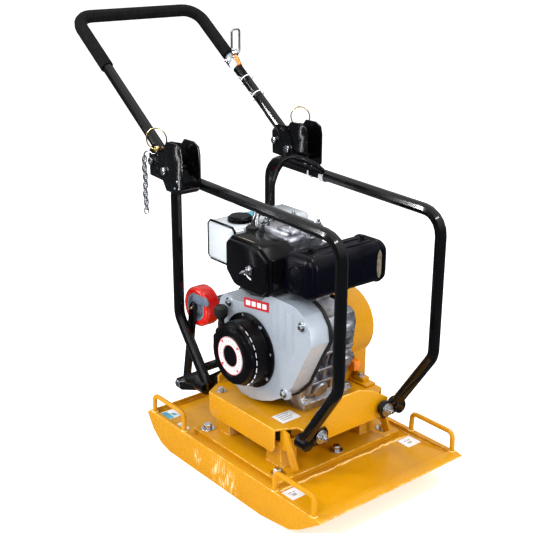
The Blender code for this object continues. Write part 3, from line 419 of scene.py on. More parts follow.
rounded("base_plate", 2.2 * MM, scuffed_amber(), 3)
rounded("cover_plate", 1.0 * MM, AMBER)
welds = bmesh.new()
half = PLATE_HIGH.y - 13 * MM
add_weld(welds, (SEAM_X, -half, COVER_Z + 0.5 * MM), (SEAM_X, half, COVER_Z + 0.5 * MM), 3.6 * MM, 6 * MM,
         0.8)
for side in SIDES.values():
    wall = side * (PLATE_HIGH.y - 12.5 * MM)
    add_weld(welds, (SEAM_X, wall, COVER_Z), (0.286, wall, COVER_HIGH[2] - 1 * MM), 2.0 * MM)
    add_weld(welds, (-0.350, wall, COVER_Z), (SEAM_X, wall, COVER_Z), 1.8 * MM)
shown("plate_welds", welds, WELD, "machine")


# ---------------------------------------------------------------- carrying handles
# Four grips of round steel bar, bent to a bow, painted with the hull and welded by both feet to the tops
# of its side walls.

feet = bmesh.new()
for end in ("front", "rear"):
    for side in SIDES:
        name = f"carry_handle_{end}_{side}"
        rounded(name, 0, AMBER)
        low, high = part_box(name)
        for x in (low[0] + 6 * MM, high[0] - 6 * MM):
            y = (low[1] + high[1]) / 2
            points = [(x + 7.5 * MM * math.cos(a), y + 6.5 * MM * math.sin(a), low[2]) for a in
                      [math.tau * step / 16 for step in range(16)]]
            add_tube(feet, points, 1.9 * MM, 6, closed=True)
shown("carry_handle_welds", feet, WELD, "machine")


# ---------------------------------------------------------------- exciter bed
# A low welded seat in the middle of the plate, painted amber. Zinc hexagon bolts hold its flanges to the
# plate at the four corners and in the middle of the front and back edges.

STEEL = surface(
    "bright_zinc", (0.66, 0.67, 0.70), (0.50, 0.54, 0.60), (0.9, 0.9, 0.9), bump=0.15,
    blotch_size=0.01, edge_wear=0.6, roughness=0.22, swing=0.2, metallic=1.0, specks=0.05,
)


def add_turned(shape, profile, middle, way=(0, 0, 1), steps=28, finish=0):
    """A turned piece: (radius, place along the axis) points, from one pole or rim to the other."""
    made = bmesh.new()
    line = [made.verts.new((radius, 0, along)) for radius, along in profile]
    edges = [made.edges.new(pair) for pair in zip(line, line[1:])]
    bmesh.ops.spin(
        made, geom=line + edges, cent=(0, 0, 0), axis=(0, 0, 1), angle=math.tau, steps=steps, use_merge=True
    )
    bmesh.ops.remove_doubles(made, verts=made.verts, dist=1e-6)
    turn = Matrix.Translation(middle) @ Vector(way).to_track_quat("Z", "Y").to_matrix().to_4x4()
    bmesh.ops.transform(made, matrix=turn, verts=made.verts)
    joined(shape, made, finish)


def add_disc(shape, middle, way, radius, thick, round_edge=0.0, steps=28):
    """A round plate or rod standing on middle, with both rims broken."""
    edge = round_edge or thick * 0.3
    profile = [(0, 0), (radius - edge, 0), (radius, edge), (radius, thick - edge), (radius - edge, thick),
               (0, thick)]
    add_turned(shape, profile, middle, way, steps)


ACROSS_M8, ACROSS_M10, ACROSS_M12 = 13 * MM, 17 * MM, 19 * MM


def add_bolt(shape, middle, way, across=ACROSS_M8, washer=True, stud=0.0):
    """A hexagon head or nut on a washer, standing on middle and facing way."""
    way = Vector(way).normalized()
    middle = Vector(middle)
    base = 0.0
    if washer:
        add_disc(shape, middle, way, across * 0.92, 1.8 * MM, 0.5 * MM, 24)
        base = 1.8 * MM
    tall = across * 0.6
    radius = across / math.sqrt(3)
    profile = [(0, base), (radius, base), (radius, base + tall * 0.82), (radius * 0.84, base + tall),
               (0, base + tall)]
    add_turned(shape, profile, middle, way, 6)
    if stud:
        add_disc(shape, middle + way * base, way, across * 0.3, tall + stud, 0.8 * MM, 16)


BED_LOW, BED_HIGH = (Vector(corner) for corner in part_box("exciter_bed"))
BED_FLANGE_TOP = 0.0864

rounded("exciter_bed", 1.6 * MM, AMBER)
bolts = bmesh.new()
for x in (BED_LOW.x + 30 * MM, BED_HIGH.x - 33 * MM):
    for side in SIDES.values():
        add_bolt(bolts, (x, side * 0.172, BED_FLANGE_TOP), (0, 0, 1), ACROSS_M12)
for x in (BED_HIGH.x - 27 * MM, BED_LOW.x + 30 * MM):
    add_bolt(bolts, (x, 6 * MM, BED_FLANGE_TOP), (0, 0, 1), ACROSS_M12)
shown("plate_bolts", bolts, STEEL, "machine")
seams = bmesh.new()
low, high = BED_LOW, BED_HIGH
add_weld(seams, (low.x, low.y, COVER_Z + 1 * MM), (high.x, low.y, COVER_Z + 1 * MM), 1.6 * MM)
add_weld(seams, (low.x, high.y, COVER_Z + 1 * MM), (high.x, high.y, COVER_Z + 1 * MM), 1.6 * MM)
add_weld(seams, (high.x, low.y, COVER_Z + 1 * MM), (high.x, high.y, COVER_Z + 1 * MM), 1.6 * MM)
shown("bed_welds", seams, AMBER, "machine")


# ---------------------------------------------------------------- exciter
# A cast housing with a round cap at each end for the bearings of the eccentric shaft, whose pulley stands
# on the left. The housing and caps are painted, and the shaft and pulley are bare steel and iron.

IRON = surface(
    "machined_iron", (0.20, 0.20, 0.21), (0.12, 0.11, 0.11), (0.4, 0.4, 0.4), bump=0.3,
    edge_wear=0.6, roughness=0.45, metallic=0.9,
)


def centre_of(name):
    """The middle of a node's box."""
    low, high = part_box(name)
    return (Vector(low) + Vector(high)) / 2


rounded("exciter_housing", 1.2 * MM, AMBER)
for side in ("right", "left"):
    rounded(f"bearing_cap_{side}", 1.5 * MM, AMBER)
rounded("eccentric_shaft", 1.0 * MM, STEEL)
rounded("exciter_pulley", 1.0 * MM, IRON)
bolts = bmesh.new()
for side in SIDES:
    middle = centre_of(f"bearing_cap_{side}")
    sign = SIDES[side]
    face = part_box(f"bearing_cap_{side}")[0 if sign < 0 else 1][1]
    for step in range(6):
        a = math.tau * (step + 0.5) / 6
        place = (middle.x + 34 * MM * math.cos(a), face, middle.z + 34 * MM * math.sin(a))
        add_bolt(bolts, place, (0, sign, 0), 9 * MM, washer=False)
shown("bearing_cap_bolts", bolts, STEEL, "machine")


# ---------------------------------------------------------------- engine deck
# A folded plate with arched cross plates, painted amber. It stands on four rubber mounts, carries the
# engine on bolts, and holds the frame by rubber bushes with zinc washers and lock nuts.

RUBBER = surface(
    "black_rubber", (0.008, 0.008, 0.008), (0.018, 0.017, 0.016), dusty=(0.16, 0.14, 0.12), bump=0.4,
    shine=0.3,
    blotch_size=0.03, dust=0.3, roughness=0.62, swing=0.2, grain_size=0.0015,
)


def push(made, face, way):
    """Pulls a face out into a plate whose thickness and direction are those of way."""
    grown = bmesh.ops.extrude_face_region(made, geom=[face])["geom"]
    moved = [item for item in grown if isinstance(item, bmesh.types.BMVert)]
    bmesh.ops.translate(made, vec=way, verts=moved)


def add_outline(shape, points, middle, across, up, depth, edge=0.0):
    """A flat outline in the plane of two directions, pushed out by depth along their cross product."""
    across, up = Vector(across).normalized(), Vector(up).normalized()
    made = bmesh.new()
    rim = [made.verts.new(Vector(middle) + across * a + up * b) for a, b in points]
    push(made, made.faces.new(rim), across.cross(up) * depth)
    if edge:
        bmesh.ops.bevel(
            made, geom=made.edges[:], offset=edge, segments=2, profile=0.5, affect="EDGES", material=-1
        )
    joined(shape, made)


DECK_TOP = 0.1952

rounded("engine_deck", 2.4 * MM, AMBER, 3)
for end in ("front", "rear"):
    for side in SIDES:
        rounded(f"rubber_mount_{end}_{side}", 3 * MM, RUBBER)
        rounded(f"frame_bush_{end}_{side}", 1 * MM, RUBBER)
nuts = bmesh.new()
plates = bmesh.new()
for end, direction in (("front", 1), ("rear", -1)):
    for side in SIDES:
        low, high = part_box(f"frame_bush_{end}_{side}")
        middle = centre_of(f"frame_bush_{end}_{side}")
        face = (high[0] + 5.6 * MM) if direction > 0 else (low[0] - 5.6 * MM)
        add_disc(plates, (face, middle.y, middle.z), (direction, 0, 0), 17 * MM, 2.4 * MM, 0.7 * MM)
        add_bolt(nuts, (face + direction * 2.4 * MM, middle.y, middle.z), (direction, 0, 0), ACROSS_M10,
                 stud=5 * MM)
shown("bush_washers", plates, STEEL, "machine")
shown("bush_nuts", nuts, STEEL, "machine")
gusset = bmesh.new()
for sign in SIDES.values():
    points = [(0, 0), (26 * MM, -6 * MM), (60 * MM, -84 * MM), (40 * MM, -98 * MM), (22 * MM, -50 * MM),
              (0, -58 * MM)]
    middle = Vector((0.081, sign * 0.150, DECK_TOP - 2 * MM))
    add_outline(gusset, points, middle, (1, 0, 0), (0, 0, 1), 7 * MM, 0.8 * MM)
shown("deck_gussets", gusset, AMBER, "machine")
holds = bmesh.new()
for x in (-0.160, 0.046):
    for y in (-0.050, 0.085):
        add_bolt(holds, (x, y, DECK_TOP + 18 * MM), (0, 0, 1), 15 * MM)
for x, y in ((-0.155, -0.150), (-0.155, 0.150)):
    add_bolt(holds, (x, y, DECK_TOP), (0, 0, 1), ACROSS_M8)
shown("deck_bolts", holds, STEEL, "machine")


# ---------------------------------------------------------------- labels on the plate and deck
# Printed film, white and cyan, stuck flat on the paint by the plate's corners and on the front of the deck.
# Plain bars stand where the words would be.

PAPER = surface("label_white", (0.86, 0.86, 0.87), (0.78, 0.79, 0.81), bump=0.02, blotch_size=0.02,
                roughness=0.35)
INK = surface("label_ink", (0.12, 0.12, 0.14), (0.20, 0.20, 0.23), bump=0.02, blotch_size=0.01,
              roughness=0.4)
CYAN = surface("label_cyan", (0.06, 0.42, 0.58), (0.12, 0.50, 0.62), bump=0.02, blotch_size=0.02,
               roughness=0.3)


def add_label(shape, corners, normal, thick=0.5 * MM, finish=0):
    """A thin film with these corners, pulled out along normal."""
    made = bmesh.new()
    push(made, made.faces.new([made.verts.new(corner) for corner in corners]), Vector(normal) * thick)
    joined(shape, made, finish)


def flat_label(shape, x, y, z, wide, deep, turn, marks=()):
    """A white rectangle lying on a top face, with marks given as (x, y, width, depth, finish) shares of it."""
    spin = Matrix.Rotation(turn, 3, "Z")

    def corner(a, b, lift):
        place = spin @ Vector(((a - 0.5) * wide, (b - 0.5) * deep, 0))
        return Vector((x, y, z + lift)) + place

    add_label(shape, [corner(0, 0, 0), corner(1, 0, 0), corner(1, 1, 0), corner(0, 1, 0)], (0, 0, 1))
    for a, b, w, d, finish in marks:
        spots = [corner(a, b, 0.45 * MM), corner(a + w, b, 0.45 * MM), corner(a + w, b + d, 0.45 * MM),
                 corner(a, b + d, 0.45 * MM)]
        add_label(shape, spots, (0, 0, 1), 0.2 * MM, finish)


shape = bmesh.new()
marks = [(0.30, 0.25, 0.05, 0.18, 1), (0.30, 0.50, 0.05, 0.18, 1), (0.52, 0.30, 0.06, 0.30, 1),
         (0.64, 0.34, 0.05, 0.22, 1)]
for side in (-1, 1):
    z = COVER_Z + 1.6 * MM
    flat_label(shape, 0.168, side * 0.188, z, 40 * MM, 44 * MM, 0.0, marks)
blue = [(0.06, 0.08, 0.88, 0.40, 2), (0.45, 0.58, 0.34, 0.20, 2)]
flat_label(shape, -0.326, -0.190, COVER_Z, 44 * MM, 44 * MM, 0.0, blue)
flat_label(shape, -0.252, -0.203, COVER_Z, 40 * MM, 20 * MM, 0.0, marks[:2])
lines = [(0.10 + 0.2 * row, 0.16, 0.05, 0.64 - 0.12 * (row % 2), 1) for row in range(4)]
flat_label(shape, 0.050, -0.112, 0.1953, 42 * MM, 56 * MM, 0.0, lines)
shown("plate_labels", shape, (PAPER, INK, CYAN), "machine", 20)


# ---------------------------------------------------------------- tube frame and handle brackets
# Two loops of bent steel tube with a cross bar, hubs at their feet and folded sheet brackets at the rear
# corners, welded together and powder coated in gloss black.

BLACK = surface(
    "black_gloss", (0.0015, 0.0015, 0.002), (0.003, 0.003, 0.0035), (0.05, 0.05, 0.05), (0.10, 0.09, 0.08),
    0.05, 0.0, 0.45,
    edge_wear=0.15, dust=0.02, roughness=0.11, swing=0.06, grain_size=0.003, specks=0.02,
)
BLACK_WELD = surface(
    "black_weld", (0.006, 0.006, 0.007), (0.02, 0.02, 0.02), bump=0.8, coat=0.2, shine=0.4,
    blotch=0.9, blotch_size=0.006, roughness=0.25, swing=0.3, grain_size=0.003,
)

hubs = bmesh.new()
welds = bmesh.new()
for side, sign in SIDES.items():
    rounded(f"frame_loop_{side}", 0, BLACK)
    rounded(f"handle_bracket_{side}", 2.0 * MM, BLACK, 3)
    y = sign * 0.149
    add_turned(
        hubs,
        [(0, 0), (16 * MM, 0), (18 * MM, 2 * MM), (18 * MM, 30 * MM), (16 * MM, 32 * MM), (0, 32 * MM)],
        (0.139, y, 0.186), (1, 0, 0), 32,
    )
    add_turned(
        hubs,
        [(0, 0), (18 * MM, 0), (20 * MM, 2 * MM), (20 * MM, 36 * MM), (18 * MM, 38 * MM), (0, 38 * MM)],
        (-0.250, y, 0.182), (1, 0, 0), 32,
    )
    low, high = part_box(f"handle_bracket_{side}")
    edge = low[1] if sign > 0 else high[1]
    add_weld(welds, (low[0] + 60 * MM, edge, low[2] + 18 * MM), (high[0] - 4 * MM, edge, low[2] + 14 * MM),
             2.4 * MM)
rounded("frame_cross_bar", 1 * MM, BLACK)
shown("frame_hubs", hubs, BLACK, "machine")
shown("bracket_welds", welds, BLACK_WELD, "machine")


# ---------------------------------------------------------------- bolts, rivets and lock pins
# Zinc pivot and stop bolts, three rivets on each bracket's outer face, and yellow zinc lock pins that are
# pulled by a ring of spring wire.

GOLD = surface(
    "yellow_zinc", (0.70, 0.52, 0.20), (0.60, 0.50, 0.34), (0.9, 0.8, 0.5), bump=0.1,
    blotch_size=0.012, edge_wear=0.5, roughness=0.24, swing=0.15, metallic=1.0,
)

bolts = bmesh.new()
for side, sign in SIDES.items():
    rounded(f"pivot_bolt_{side}", 1.2 * MM, STEEL)
    rounded(f"stop_bolt_{side}", 1.2 * MM, STEEL)
    rounded(f"lock_pin_{side}", 1.2 * MM, GOLD)
    low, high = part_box(f"handle_bracket_{side}")
    face = low[1] if sign < 0 else high[1]
    for dx, dz in ((-12, 14), (-30, 12), (-20, 30)):
        place = (high[0] + dx * MM, face, low[2] + dz * MM)
        add_turned(bolts, [(3.4 * MM, 0), (3.0 * MM, 1.4 * MM), (1.6 * MM, 2.2 * MM), (0, 2.4 * MM)],
                   place, (0, sign, 0), 14)
shown("bracket_rivets", bolts, STEEL, "machine")
for side, sign in SIDES.items():
    low, high = (Vector(corner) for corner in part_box(f"lock_pin_{side}"))
    middle = (low + high) / 2
    head = Vector((middle.x, (low.y + 4 * MM) if sign < 0 else (high.y - 4 * MM), middle.z))
    across = Vector((0.80, 0.60, 0))
    ring = bmesh.new()
    path = []
    for step in range(28):
        a = math.tau * step / 28
        path.append(head + Vector((0, 0, 24 * MM)) + across * 25 * MM * math.cos(a)
                    + Vector((0, 0, 26 * MM * math.sin(a))))
    add_tube(ring, path, 1.7 * MM, 8, closed=True)
    shown(f"lock_pin_ring_{side}", ring, GOLD, f"lock_pin_{side}")


# ---------------------------------------------------------------- chain of the right lock pin
# A short welded chain of round zinc-plated wire. Its first link is hooked to the pin's eye by a bent wire,
# and the rest hangs straight down beside the right bracket.


def smooth_path(points, steps=6):
    """A smooth curve through the points."""
    points = [Vector(point) for point in points]
    ends = [points[0] * 2 - points[1]] + points + [points[-1] * 2 - points[-2]]
    path = []
    for a, b, c, d in zip(ends, ends[1:], ends[2:], ends[3:]):
        for step in range(steps):
            t = step / steps
            path.append(
                0.5 * (2 * b + (c - a) * t + (2 * a - 5 * b + 4 * c - d) * t * t
                       + (3 * b - a - 3 * c + d) * t**3)
            )
    path.append(points[-1])
    return path


def add_link(shape, middle, down, across, length, width, wire):
    """One chain link: a flattened ring of wire."""
    path = []
    for step in range(16):
        a = math.tau * step / 16
        path.append(middle + down * length / 2 * math.sin(a)
                    + across * width / 2 * math.copysign(abs(math.cos(a)) ** 0.6, math.cos(a)))
    add_tube(shape, path, wire, 6, closed=True)


shape = bmesh.new()
start = Vector((-0.338, -0.232, 0.760))
for index in range(13):
    middle = start + Vector((0.0, -0.001 * math.sin(index), -10.5 * MM * index))
    across = Vector((1, 0, 0)) if index % 2 else Vector((0, 1, 0))
    add_link(shape, middle, Vector((0, 0, 1)), across, 17 * MM, 10.5 * MM, 1.9 * MM)
path = smooth_path([(-0.314, -0.222, 0.775), (-0.326, -0.230, 0.782), (-0.336, -0.233, 0.774), start])
add_tube(shape, path, 1.8 * MM, 6)
shown("pin_chain", shape, STEEL, "machine")


# ---------------------------------------------------------------- handle, foam grip and throttle
# One bent tube, gloss black, with a split foam sleeve round its top bow. The throttle's zinc clamp and
# wire lever are screwed to the left tube, with a white label round the tube below them.

JOINTS = {joint["name"]: joint for joint in record["behaviour"]["joints"]}
FOAM = surface(
    "grip_foam", (0.0035, 0.0035, 0.004), (0.008, 0.008, 0.009), dusty=(0.08, 0.08, 0.08), bump=0.9,
    shine=0.1,
    blotch_size=0.02, dust=0.08, roughness=0.78, swing=0.25, grain_size=0.0022,
)
ORANGE = surface("orange_plastic", (0.95, 0.27, 0.01), (0.85, 0.20, 0.01), bump=0.05, blotch_size=0.02,
                 roughness=0.3, coat=0.2)


def add_ring(shape, middle, way, outer, inner, thick, steps=36, finish=0):
    """A flat ring or a sleeve standing on middle."""
    edge = min(thick * 0.3, (outer - inner) * 0.3)
    profile = [(inner, 0), (outer - edge, 0), (outer, edge), (outer, thick - edge), (outer - edge, thick)]
    profile += [(inner, thick), (inner, 0)]
    add_turned(shape, profile, middle, way, steps, finish)


HANDLE_SLOPE = math.radians(36)


def along_handle(along, y, above=0.0):
    """A point on the handle: so far up a tube from the pivot, and so far above its middle."""
    up = Vector((-math.cos(HANDLE_SLOPE), 0, math.sin(HANDLE_SLOPE)))
    off = Vector((math.sin(HANDLE_SLOPE), 0, math.cos(HANDLE_SLOPE)))
    pivot = Vector(JOINTS["handle_fold"]["pos_m"])
    point = pivot + up * along + off * above
    return Vector((point.x, y, point.z))


rounded("handle_bar", 0, BLACK)
rounded("foam_grip", 2.5 * MM, FOAM, 3)
rounded("throttle_clamp", 0.8 * MM, STEEL)
rounded("throttle_lever", 0, STEEL)
left = centre_of("throttle_clamp").y
shape = bmesh.new()
up = along_handle(1, left) - along_handle(0, left)
add_ring(shape, along_handle(300 * MM, left), up, 15.0 * MM, 13.7 * MM, 26 * MM)
shown("throttle_label", shape, PAPER, "handle")
tips = bmesh.new()
add_tube(tips, [along_handle(320 * MM, left - 8 * MM, 26 * MM),
                along_handle(292 * MM, left - 9 * MM, 22 * MM)],
         lambda t: (5.5 - 1.5 * t) * MM, 12)
shown("throttle_tip", tips, ORANGE, "handle")
screws = bmesh.new()
add_bolt(screws, along_handle(332 * MM, left - 17 * MM, 0), (0, -1, 0), 9 * MM, washer=False, stud=4 * MM)
add_bolt(screws, along_handle(332 * MM, left - 6 * MM, 27 * MM), (0, -1, 0), 9 * MM)
shown("throttle_screws", screws, STEEL, "handle")


# ---------------------------------------------------------------- throttle cable
# A steel wire in a black sheath, from the lever down the left tube and across the pivot. It is tied to the
# rail, makes a loop in a ribbed sleeve and runs down to the engine.

SATIN = surface(
    "satin_black", (0.002, 0.002, 0.003), (0.005, 0.004, 0.005), (0.10, 0.10, 0.11), (0.08, 0.07, 0.06),
    0.05, 0.0, 0.1,
    edge_wear=0.4, dust=0.06, roughness=0.2, grain_size=0.002, specks=0.03,
)
CABLE_RADIUS = 3 * MM
RAIL_RADIUS = 13.5 * MM


def cable_route():
    """The throttle cable from the lever down the left tube, over the bracket and down to the engine."""
    left = centre_of("throttle_clamp").y
    pivot = Vector(JOINTS["handle_fold"]["pos_m"])
    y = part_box("throttle_cable_lower")[1][1] - CABLE_RADIUS
    upper = [
        along_handle(316 * MM, left, 22 * MM),
        along_handle(282 * MM, left - 6 * MM, 19 * MM),
        along_handle(230 * MM, left - 12 * MM, 17 * MM),
        along_handle(170 * MM, left - 18 * MM, 12 * MM),
        along_handle(120 * MM, left - 30 * MM, 14 * MM),
        along_handle(84 * MM, y + 2 * MM, 24 * MM),
        along_handle(44 * MM, y, 24 * MM),
        along_handle(14 * MM, y, 8 * MM),
    ]
    lower = [(pivot.x + 5 * MM, y, pivot.z - 4 * MM), (-0.258, 0.136, 0.730), (-0.232, 0.129, 0.724),
             (-0.190, 0.127, 0.721)]
    lower += [(-0.145, 0.127, 0.718), (-0.108, 0.125, 0.718), (-0.095, 0.117, 0.726),
              (-0.108, 0.110, 0.736)]
    lower += [(-0.145, 0.107, 0.744), (-0.184, 0.102, 0.744), (-0.208, 0.088, 0.728),
              (-0.212, 0.068, 0.698)]
    lower += [(-0.200, 0.046, 0.664), (-0.182, 0.026, 0.641), (-0.158, 0.006, 0.633),
              (-0.135, -0.010, 0.622)]
    lower += [(-0.132, -0.022, 0.596), (-0.132, -0.026, 0.572)]
    return upper + lower


shape = bmesh.new()
add_tube(shape, smooth_path(cable_route(), 5), CABLE_RADIUS, 12)
cable = shown("throttle_cable", shape, SATIN, None)
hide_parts("throttle_cable_upper", "throttle_cable_lower")
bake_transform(cable)
ties = bmesh.new()
left = centre_of("throttle_clamp").y
up = along_handle(1, left) - along_handle(0, left)
for along in (250 * MM, 190 * MM):
    add_ring(ties, along_handle(along, left - 4 * MM, 4 * MM), up, 19.4 * MM, 18.6 * MM, 3 * MM, 28)
    add_tube(ties, [along_handle(along, left - 22 * MM, 10 * MM),
                    along_handle(along, left - 40 * MM, 22 * MM)], 1.0 * MM, 6)
shown("cable_ties", ties, PAPER, "handle")
loom = bmesh.new()
route = [Vector(point) for point in cable_route()]
covered = smooth_path(route[9:23], 6)
add_tube(loom, covered, lambda t: (6.2 + 0.35 * math.cos(math.tau * 60 * t)) * MM, 12)
shown("cable_sleeve", loom, SATIN, "machine")
bands = bmesh.new()
high = Vector(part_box("frame_loop_left")[1])
for x, wide in ((-0.128, 15 * MM), (-0.170, 5 * MM)):
    rail = Vector((x, 0.149, high.z - RAIL_RADIUS - (x + 0.300) * 0.040))
    add_ring(bands, rail, (1, 0, -0.06), 15.0 * MM, 13.8 * MM, wide, 28)
shown("cable_bands", bands, PAPER, "machine")


# ---------------------------------------------------------------- engine block and belt drive
# Die-cast alloy crankcase and finned cylinder, with cast webs, round covers and bolts on the front side.
# The crankshaft carries the flywheel on the right and the clutch's pulley, with its belt, on the left.

ALLOY = surface(
    "cast_alloy", (0.56, 0.57, 0.62), (0.17, 0.18, 0.22), (0.85, 0.85, 0.85), (0.30, 0.24, 0.18), 0.6,
    blotch=0.8, blotch_size=0.02, edge_wear=0.8, dust=0.35, roughness=0.36, swing=0.25, grain_size=0.0022,
    metallic=0.85,
)


def add_block(shape, low, high, edge=0.8 * MM):
    """A box between two corners, with its edges rounded."""
    low, high = Vector(low), Vector(high)
    made = bmesh.new()
    matrix = Matrix.Translation((low + high) / 2) @ Matrix.Diagonal((*(high - low), 1))
    bmesh.ops.create_cube(made, size=1.0, matrix=matrix)
    bmesh.ops.bevel(
        made, geom=made.edges[:], offset=edge, segments=2, profile=0.5, affect="EDGES", material=-1
    )
    joined(shape, made)


rounded("crankcase", 3 * MM, ALLOY, 3)
rounded("cylinder", 0.8 * MM, ALLOY)
rounded("rocker_cover", 1 * MM, ALLOY)
rounded("crankshaft", 1 * MM, STEEL)
rounded("flywheel", 1 * MM, IRON)
rounded("clutch_pulley", 1 * MM, IRON)
rounded("drive_belt", 0.8 * MM, RUBBER)
shape = bmesh.new()
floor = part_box("crankcase")[0][2]
for y in (-0.046, -0.014, 0.018, 0.050):
    points = [(0.044, floor + 36 * MM), (0.060, floor + 40 * MM), (0.104, floor + 196 * MM),
              (0.090, floor + 204 * MM)]
    add_outline(shape, points, (0, y, 0), (1, 0, 0), (0, 0, 1), 5 * MM, 1 * MM)
for z, reach in ((0.262, 0.066), (0.300, 0.078), (0.345, 0.090)):
    add_block(shape, (reach - 30 * MM, -0.052, z), (reach + 4 * MM, 0.058, z + 7 * MM), 2 * MM)
add_disc(shape, (0.070, 0.030, 0.318), (1, 0, -0.30), 30 * MM, 22 * MM, 4 * MM, 32)
add_disc(shape, (0.086, 0.030, 0.314), (1, 0, -0.30), 19 * MM, 14 * MM, 3 * MM, 32)
add_disc(shape, (0.058, -0.022, 0.250), (1, 0, -0.30), 20 * MM, 16 * MM, 3 * MM, 28)
add_block(shape, (0.060, 0.020, 0.372), (0.100, 0.056, 0.410), 6 * MM)
shown("crankcase_webs", shape, ALLOY, "machine")
bolts = bmesh.new()
for y, z in ((-0.042, 0.236), (0.056, 0.236), (-0.040, 0.306), (0.054, 0.330), (-0.036, 0.372),
             (0.030, 0.392)):
    reach = 0.046 + (z - floor - 30 * MM) * 0.26
    add_bolt(bolts, (reach + 2 * MM, y, z), (1, 0, -0.37), 12 * MM)
shown("crankcase_bolts", bolts, STEEL, "machine")


# ---------------------------------------------------------------- rocker cover and injector
# The cast rocker cover with its humps, ribs and studs, the injector, and two bright steel pipes that bend
# down into the cylinder head.

low, high = (Vector(corner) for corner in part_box("rocker_cover"))
middle = (low + high) / 2
shape = bmesh.new()
add_block(shape, (middle.x - 6 * MM, low.y - 8 * MM, low.z + 18 * MM),
          (high.x + 8 * MM, middle.y - 6 * MM, high.z - 10 * MM), 8 * MM)
add_block(shape, (middle.x + 2 * MM, low.y + 4 * MM, high.z - 14 * MM),
          (high.x + 2 * MM, middle.y - 14 * MM, high.z + 6 * MM), 6 * MM)
add_block(shape, (low.x + 8 * MM, middle.y + 4 * MM, high.z - 8 * MM),
          (high.x - 20 * MM, high.y - 10 * MM, high.z + 8 * MM), 6 * MM)
for step in range(5):
    x = middle.x + (4 + 11 * step) * MM
    add_block(shape, (x, low.y - 10 * MM, low.z + 8 * MM), (x + 4 * MM, low.y + 6 * MM, high.z - 14 * MM),
              1.4 * MM)
shown("rocker_cover_top", shape, ALLOY, "machine")
fittings = bmesh.new()
for x, y in ((low.x + 10 * MM, low.y + 12 * MM), (high.x - 8 * MM, high.y - 12 * MM),
             (low.x + 12 * MM, high.y - 14 * MM)):
    add_bolt(fittings, (x, y, high.z - 2 * MM), (0, 0, 1), ACROSS_M8, stud=7 * MM)
add_bolt(fittings, (middle.x + 24 * MM, low.y + 26 * MM, high.z + 5 * MM), (0, 0, 1), 12 * MM, stud=3 * MM)
add_disc(fittings, (low.x + 26 * MM, low.y + 10 * MM, high.z - 4 * MM), (0, 0, 1), 6 * MM, 34 * MM, 2 * MM,
         18)
for shift in (0, 11 * MM):
    path = [(-0.166 + shift, -0.036, 0.642), (-0.150 + shift, -0.046, 0.645),
            (-0.138 + shift, -0.058, 0.628)]
    path += [(-0.132 + shift, -0.064, 0.602), (-0.126 + shift, -0.060, 0.575)]
    add_tube(fittings, smooth_path(path), 4.6 * MM, 12)
add_disc(fittings, (-0.010, 0.030, 0.600), (0.6, -0.5, 0.6), 11 * MM, 16 * MM, 3 * MM, 20)
add_bolt(fittings, (0.006, -0.006, 0.606), (0, 0, 1), ACROSS_M8)
shown("head_fittings", fittings, STEEL, "machine")


# ---------------------------------------------------------------- fan casing
# A pressed sheet volute over the flywheel, in silver grey paint, with raised ribs, sunk bolts, a rubber
# seal at its back rim and a red plaque.

GREY = surface(
    "silver_grey", (0.38, 0.43, 0.50), (0.45, 0.49, 0.54), (0.85, 0.86, 0.88), (0.50, 0.44, 0.40), 0.05,
    0.6,
    blotch_size=0.05, edge_wear=0.3, dust=0.05, roughness=0.26, grain_size=0.002, metallic=0.2, specks=0.02,
)
SCARLET = surface("label_red", (0.52, 0.008, 0.022), (0.44, 0.006, 0.02), bump=0.02, blotch_size=0.02,
                  roughness=0.3, coat=0.3)


def casing_line():
    """The casing's outer edge, read from the solid's front face, as (x, z) points in order."""
    points = [(-199, 353), (-192, 297), (-168, 246), (-135, 215), (-104, 202), (-64, 202), (-26, 211)]
    points += [(14, 227), (48, 248), (83, 287), (122, 364), (148, 410), (142, 444), (120, 472), (98, 484)]
    points += [(79, 488), (9, 489), (-14, 480), (-45, 450), (-129, 438), (-169, 444), (-187, 428),
               (-197, 392)]
    return [Vector((x * MM, 0, z * MM)) for x, z in points]


low, high = (Vector(corner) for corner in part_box("fan_casing"))
rounded("fan_casing", 15 * MM, GREY, 6)
seal = bmesh.new()
line = [point + Vector((0, high.y - 1.5 * MM, 0)) for point in casing_line()]
path = smooth_path(line + line[:1], 3)[:-1]
add_tube(seal, path, 5 * MM, 8, closed=True)
shown("casing_seal", seal, RUBBER, "machine")
ribs = bmesh.new()
front = low.y
for x, top, foot in ((0.006, 0.470, 0.404), (0.030, 0.474, 0.392), (0.056, 0.474, 0.376),
                     (0.084, 0.468, 0.372)):
    path = [(x, front + 8 * MM, top + 6 * MM), (x, front + 3.2 * MM, top - 8 * MM)]
    path += [(x + 1 * MM, front + 3.2 * MM, foot + 10 * MM), (x - 2 * MM, front + 5 * MM, foot)]
    add_tube(ribs, smooth_path(path, 8), lambda t: (5.0 - 2.2 * abs(2 * t - 1) ** 3) * MM, 18)
for x, z in ((0.116, 0.448), (0.056, 0.262), (-0.150, 0.428)):
    add_turned(ribs, [(17 * MM, -6 * MM), (15 * MM, 2 * MM), (13 * MM, 4 * MM), (0, 4 * MM)],
               (x, front + 2 * MM, z), (0, -1, 0), 28)
shown("casing_ribs", ribs, GREY, "machine")
bolts = bmesh.new()
for x, z in ((0.116, 0.448), (0.056, 0.262), (-0.150, 0.428)):
    add_ring(bolts, (x, front - 2 * MM, z), (0, -1, 0), 11 * MM, 5 * MM, 1.5 * MM)
    add_bolt(bolts, (x, front - 3 * MM, z), (0, -1, 0), 11 * MM, washer=False)
shown("casing_bolts", bolts, STEEL, "machine")
plaque = bmesh.new()
slant = [(-0.092, 0.434), (0.0, 0.446), (0.0, 0.470), (-0.092, 0.458)]
spots = [(x, front - 0.4 * MM, z) for x, z in slant]
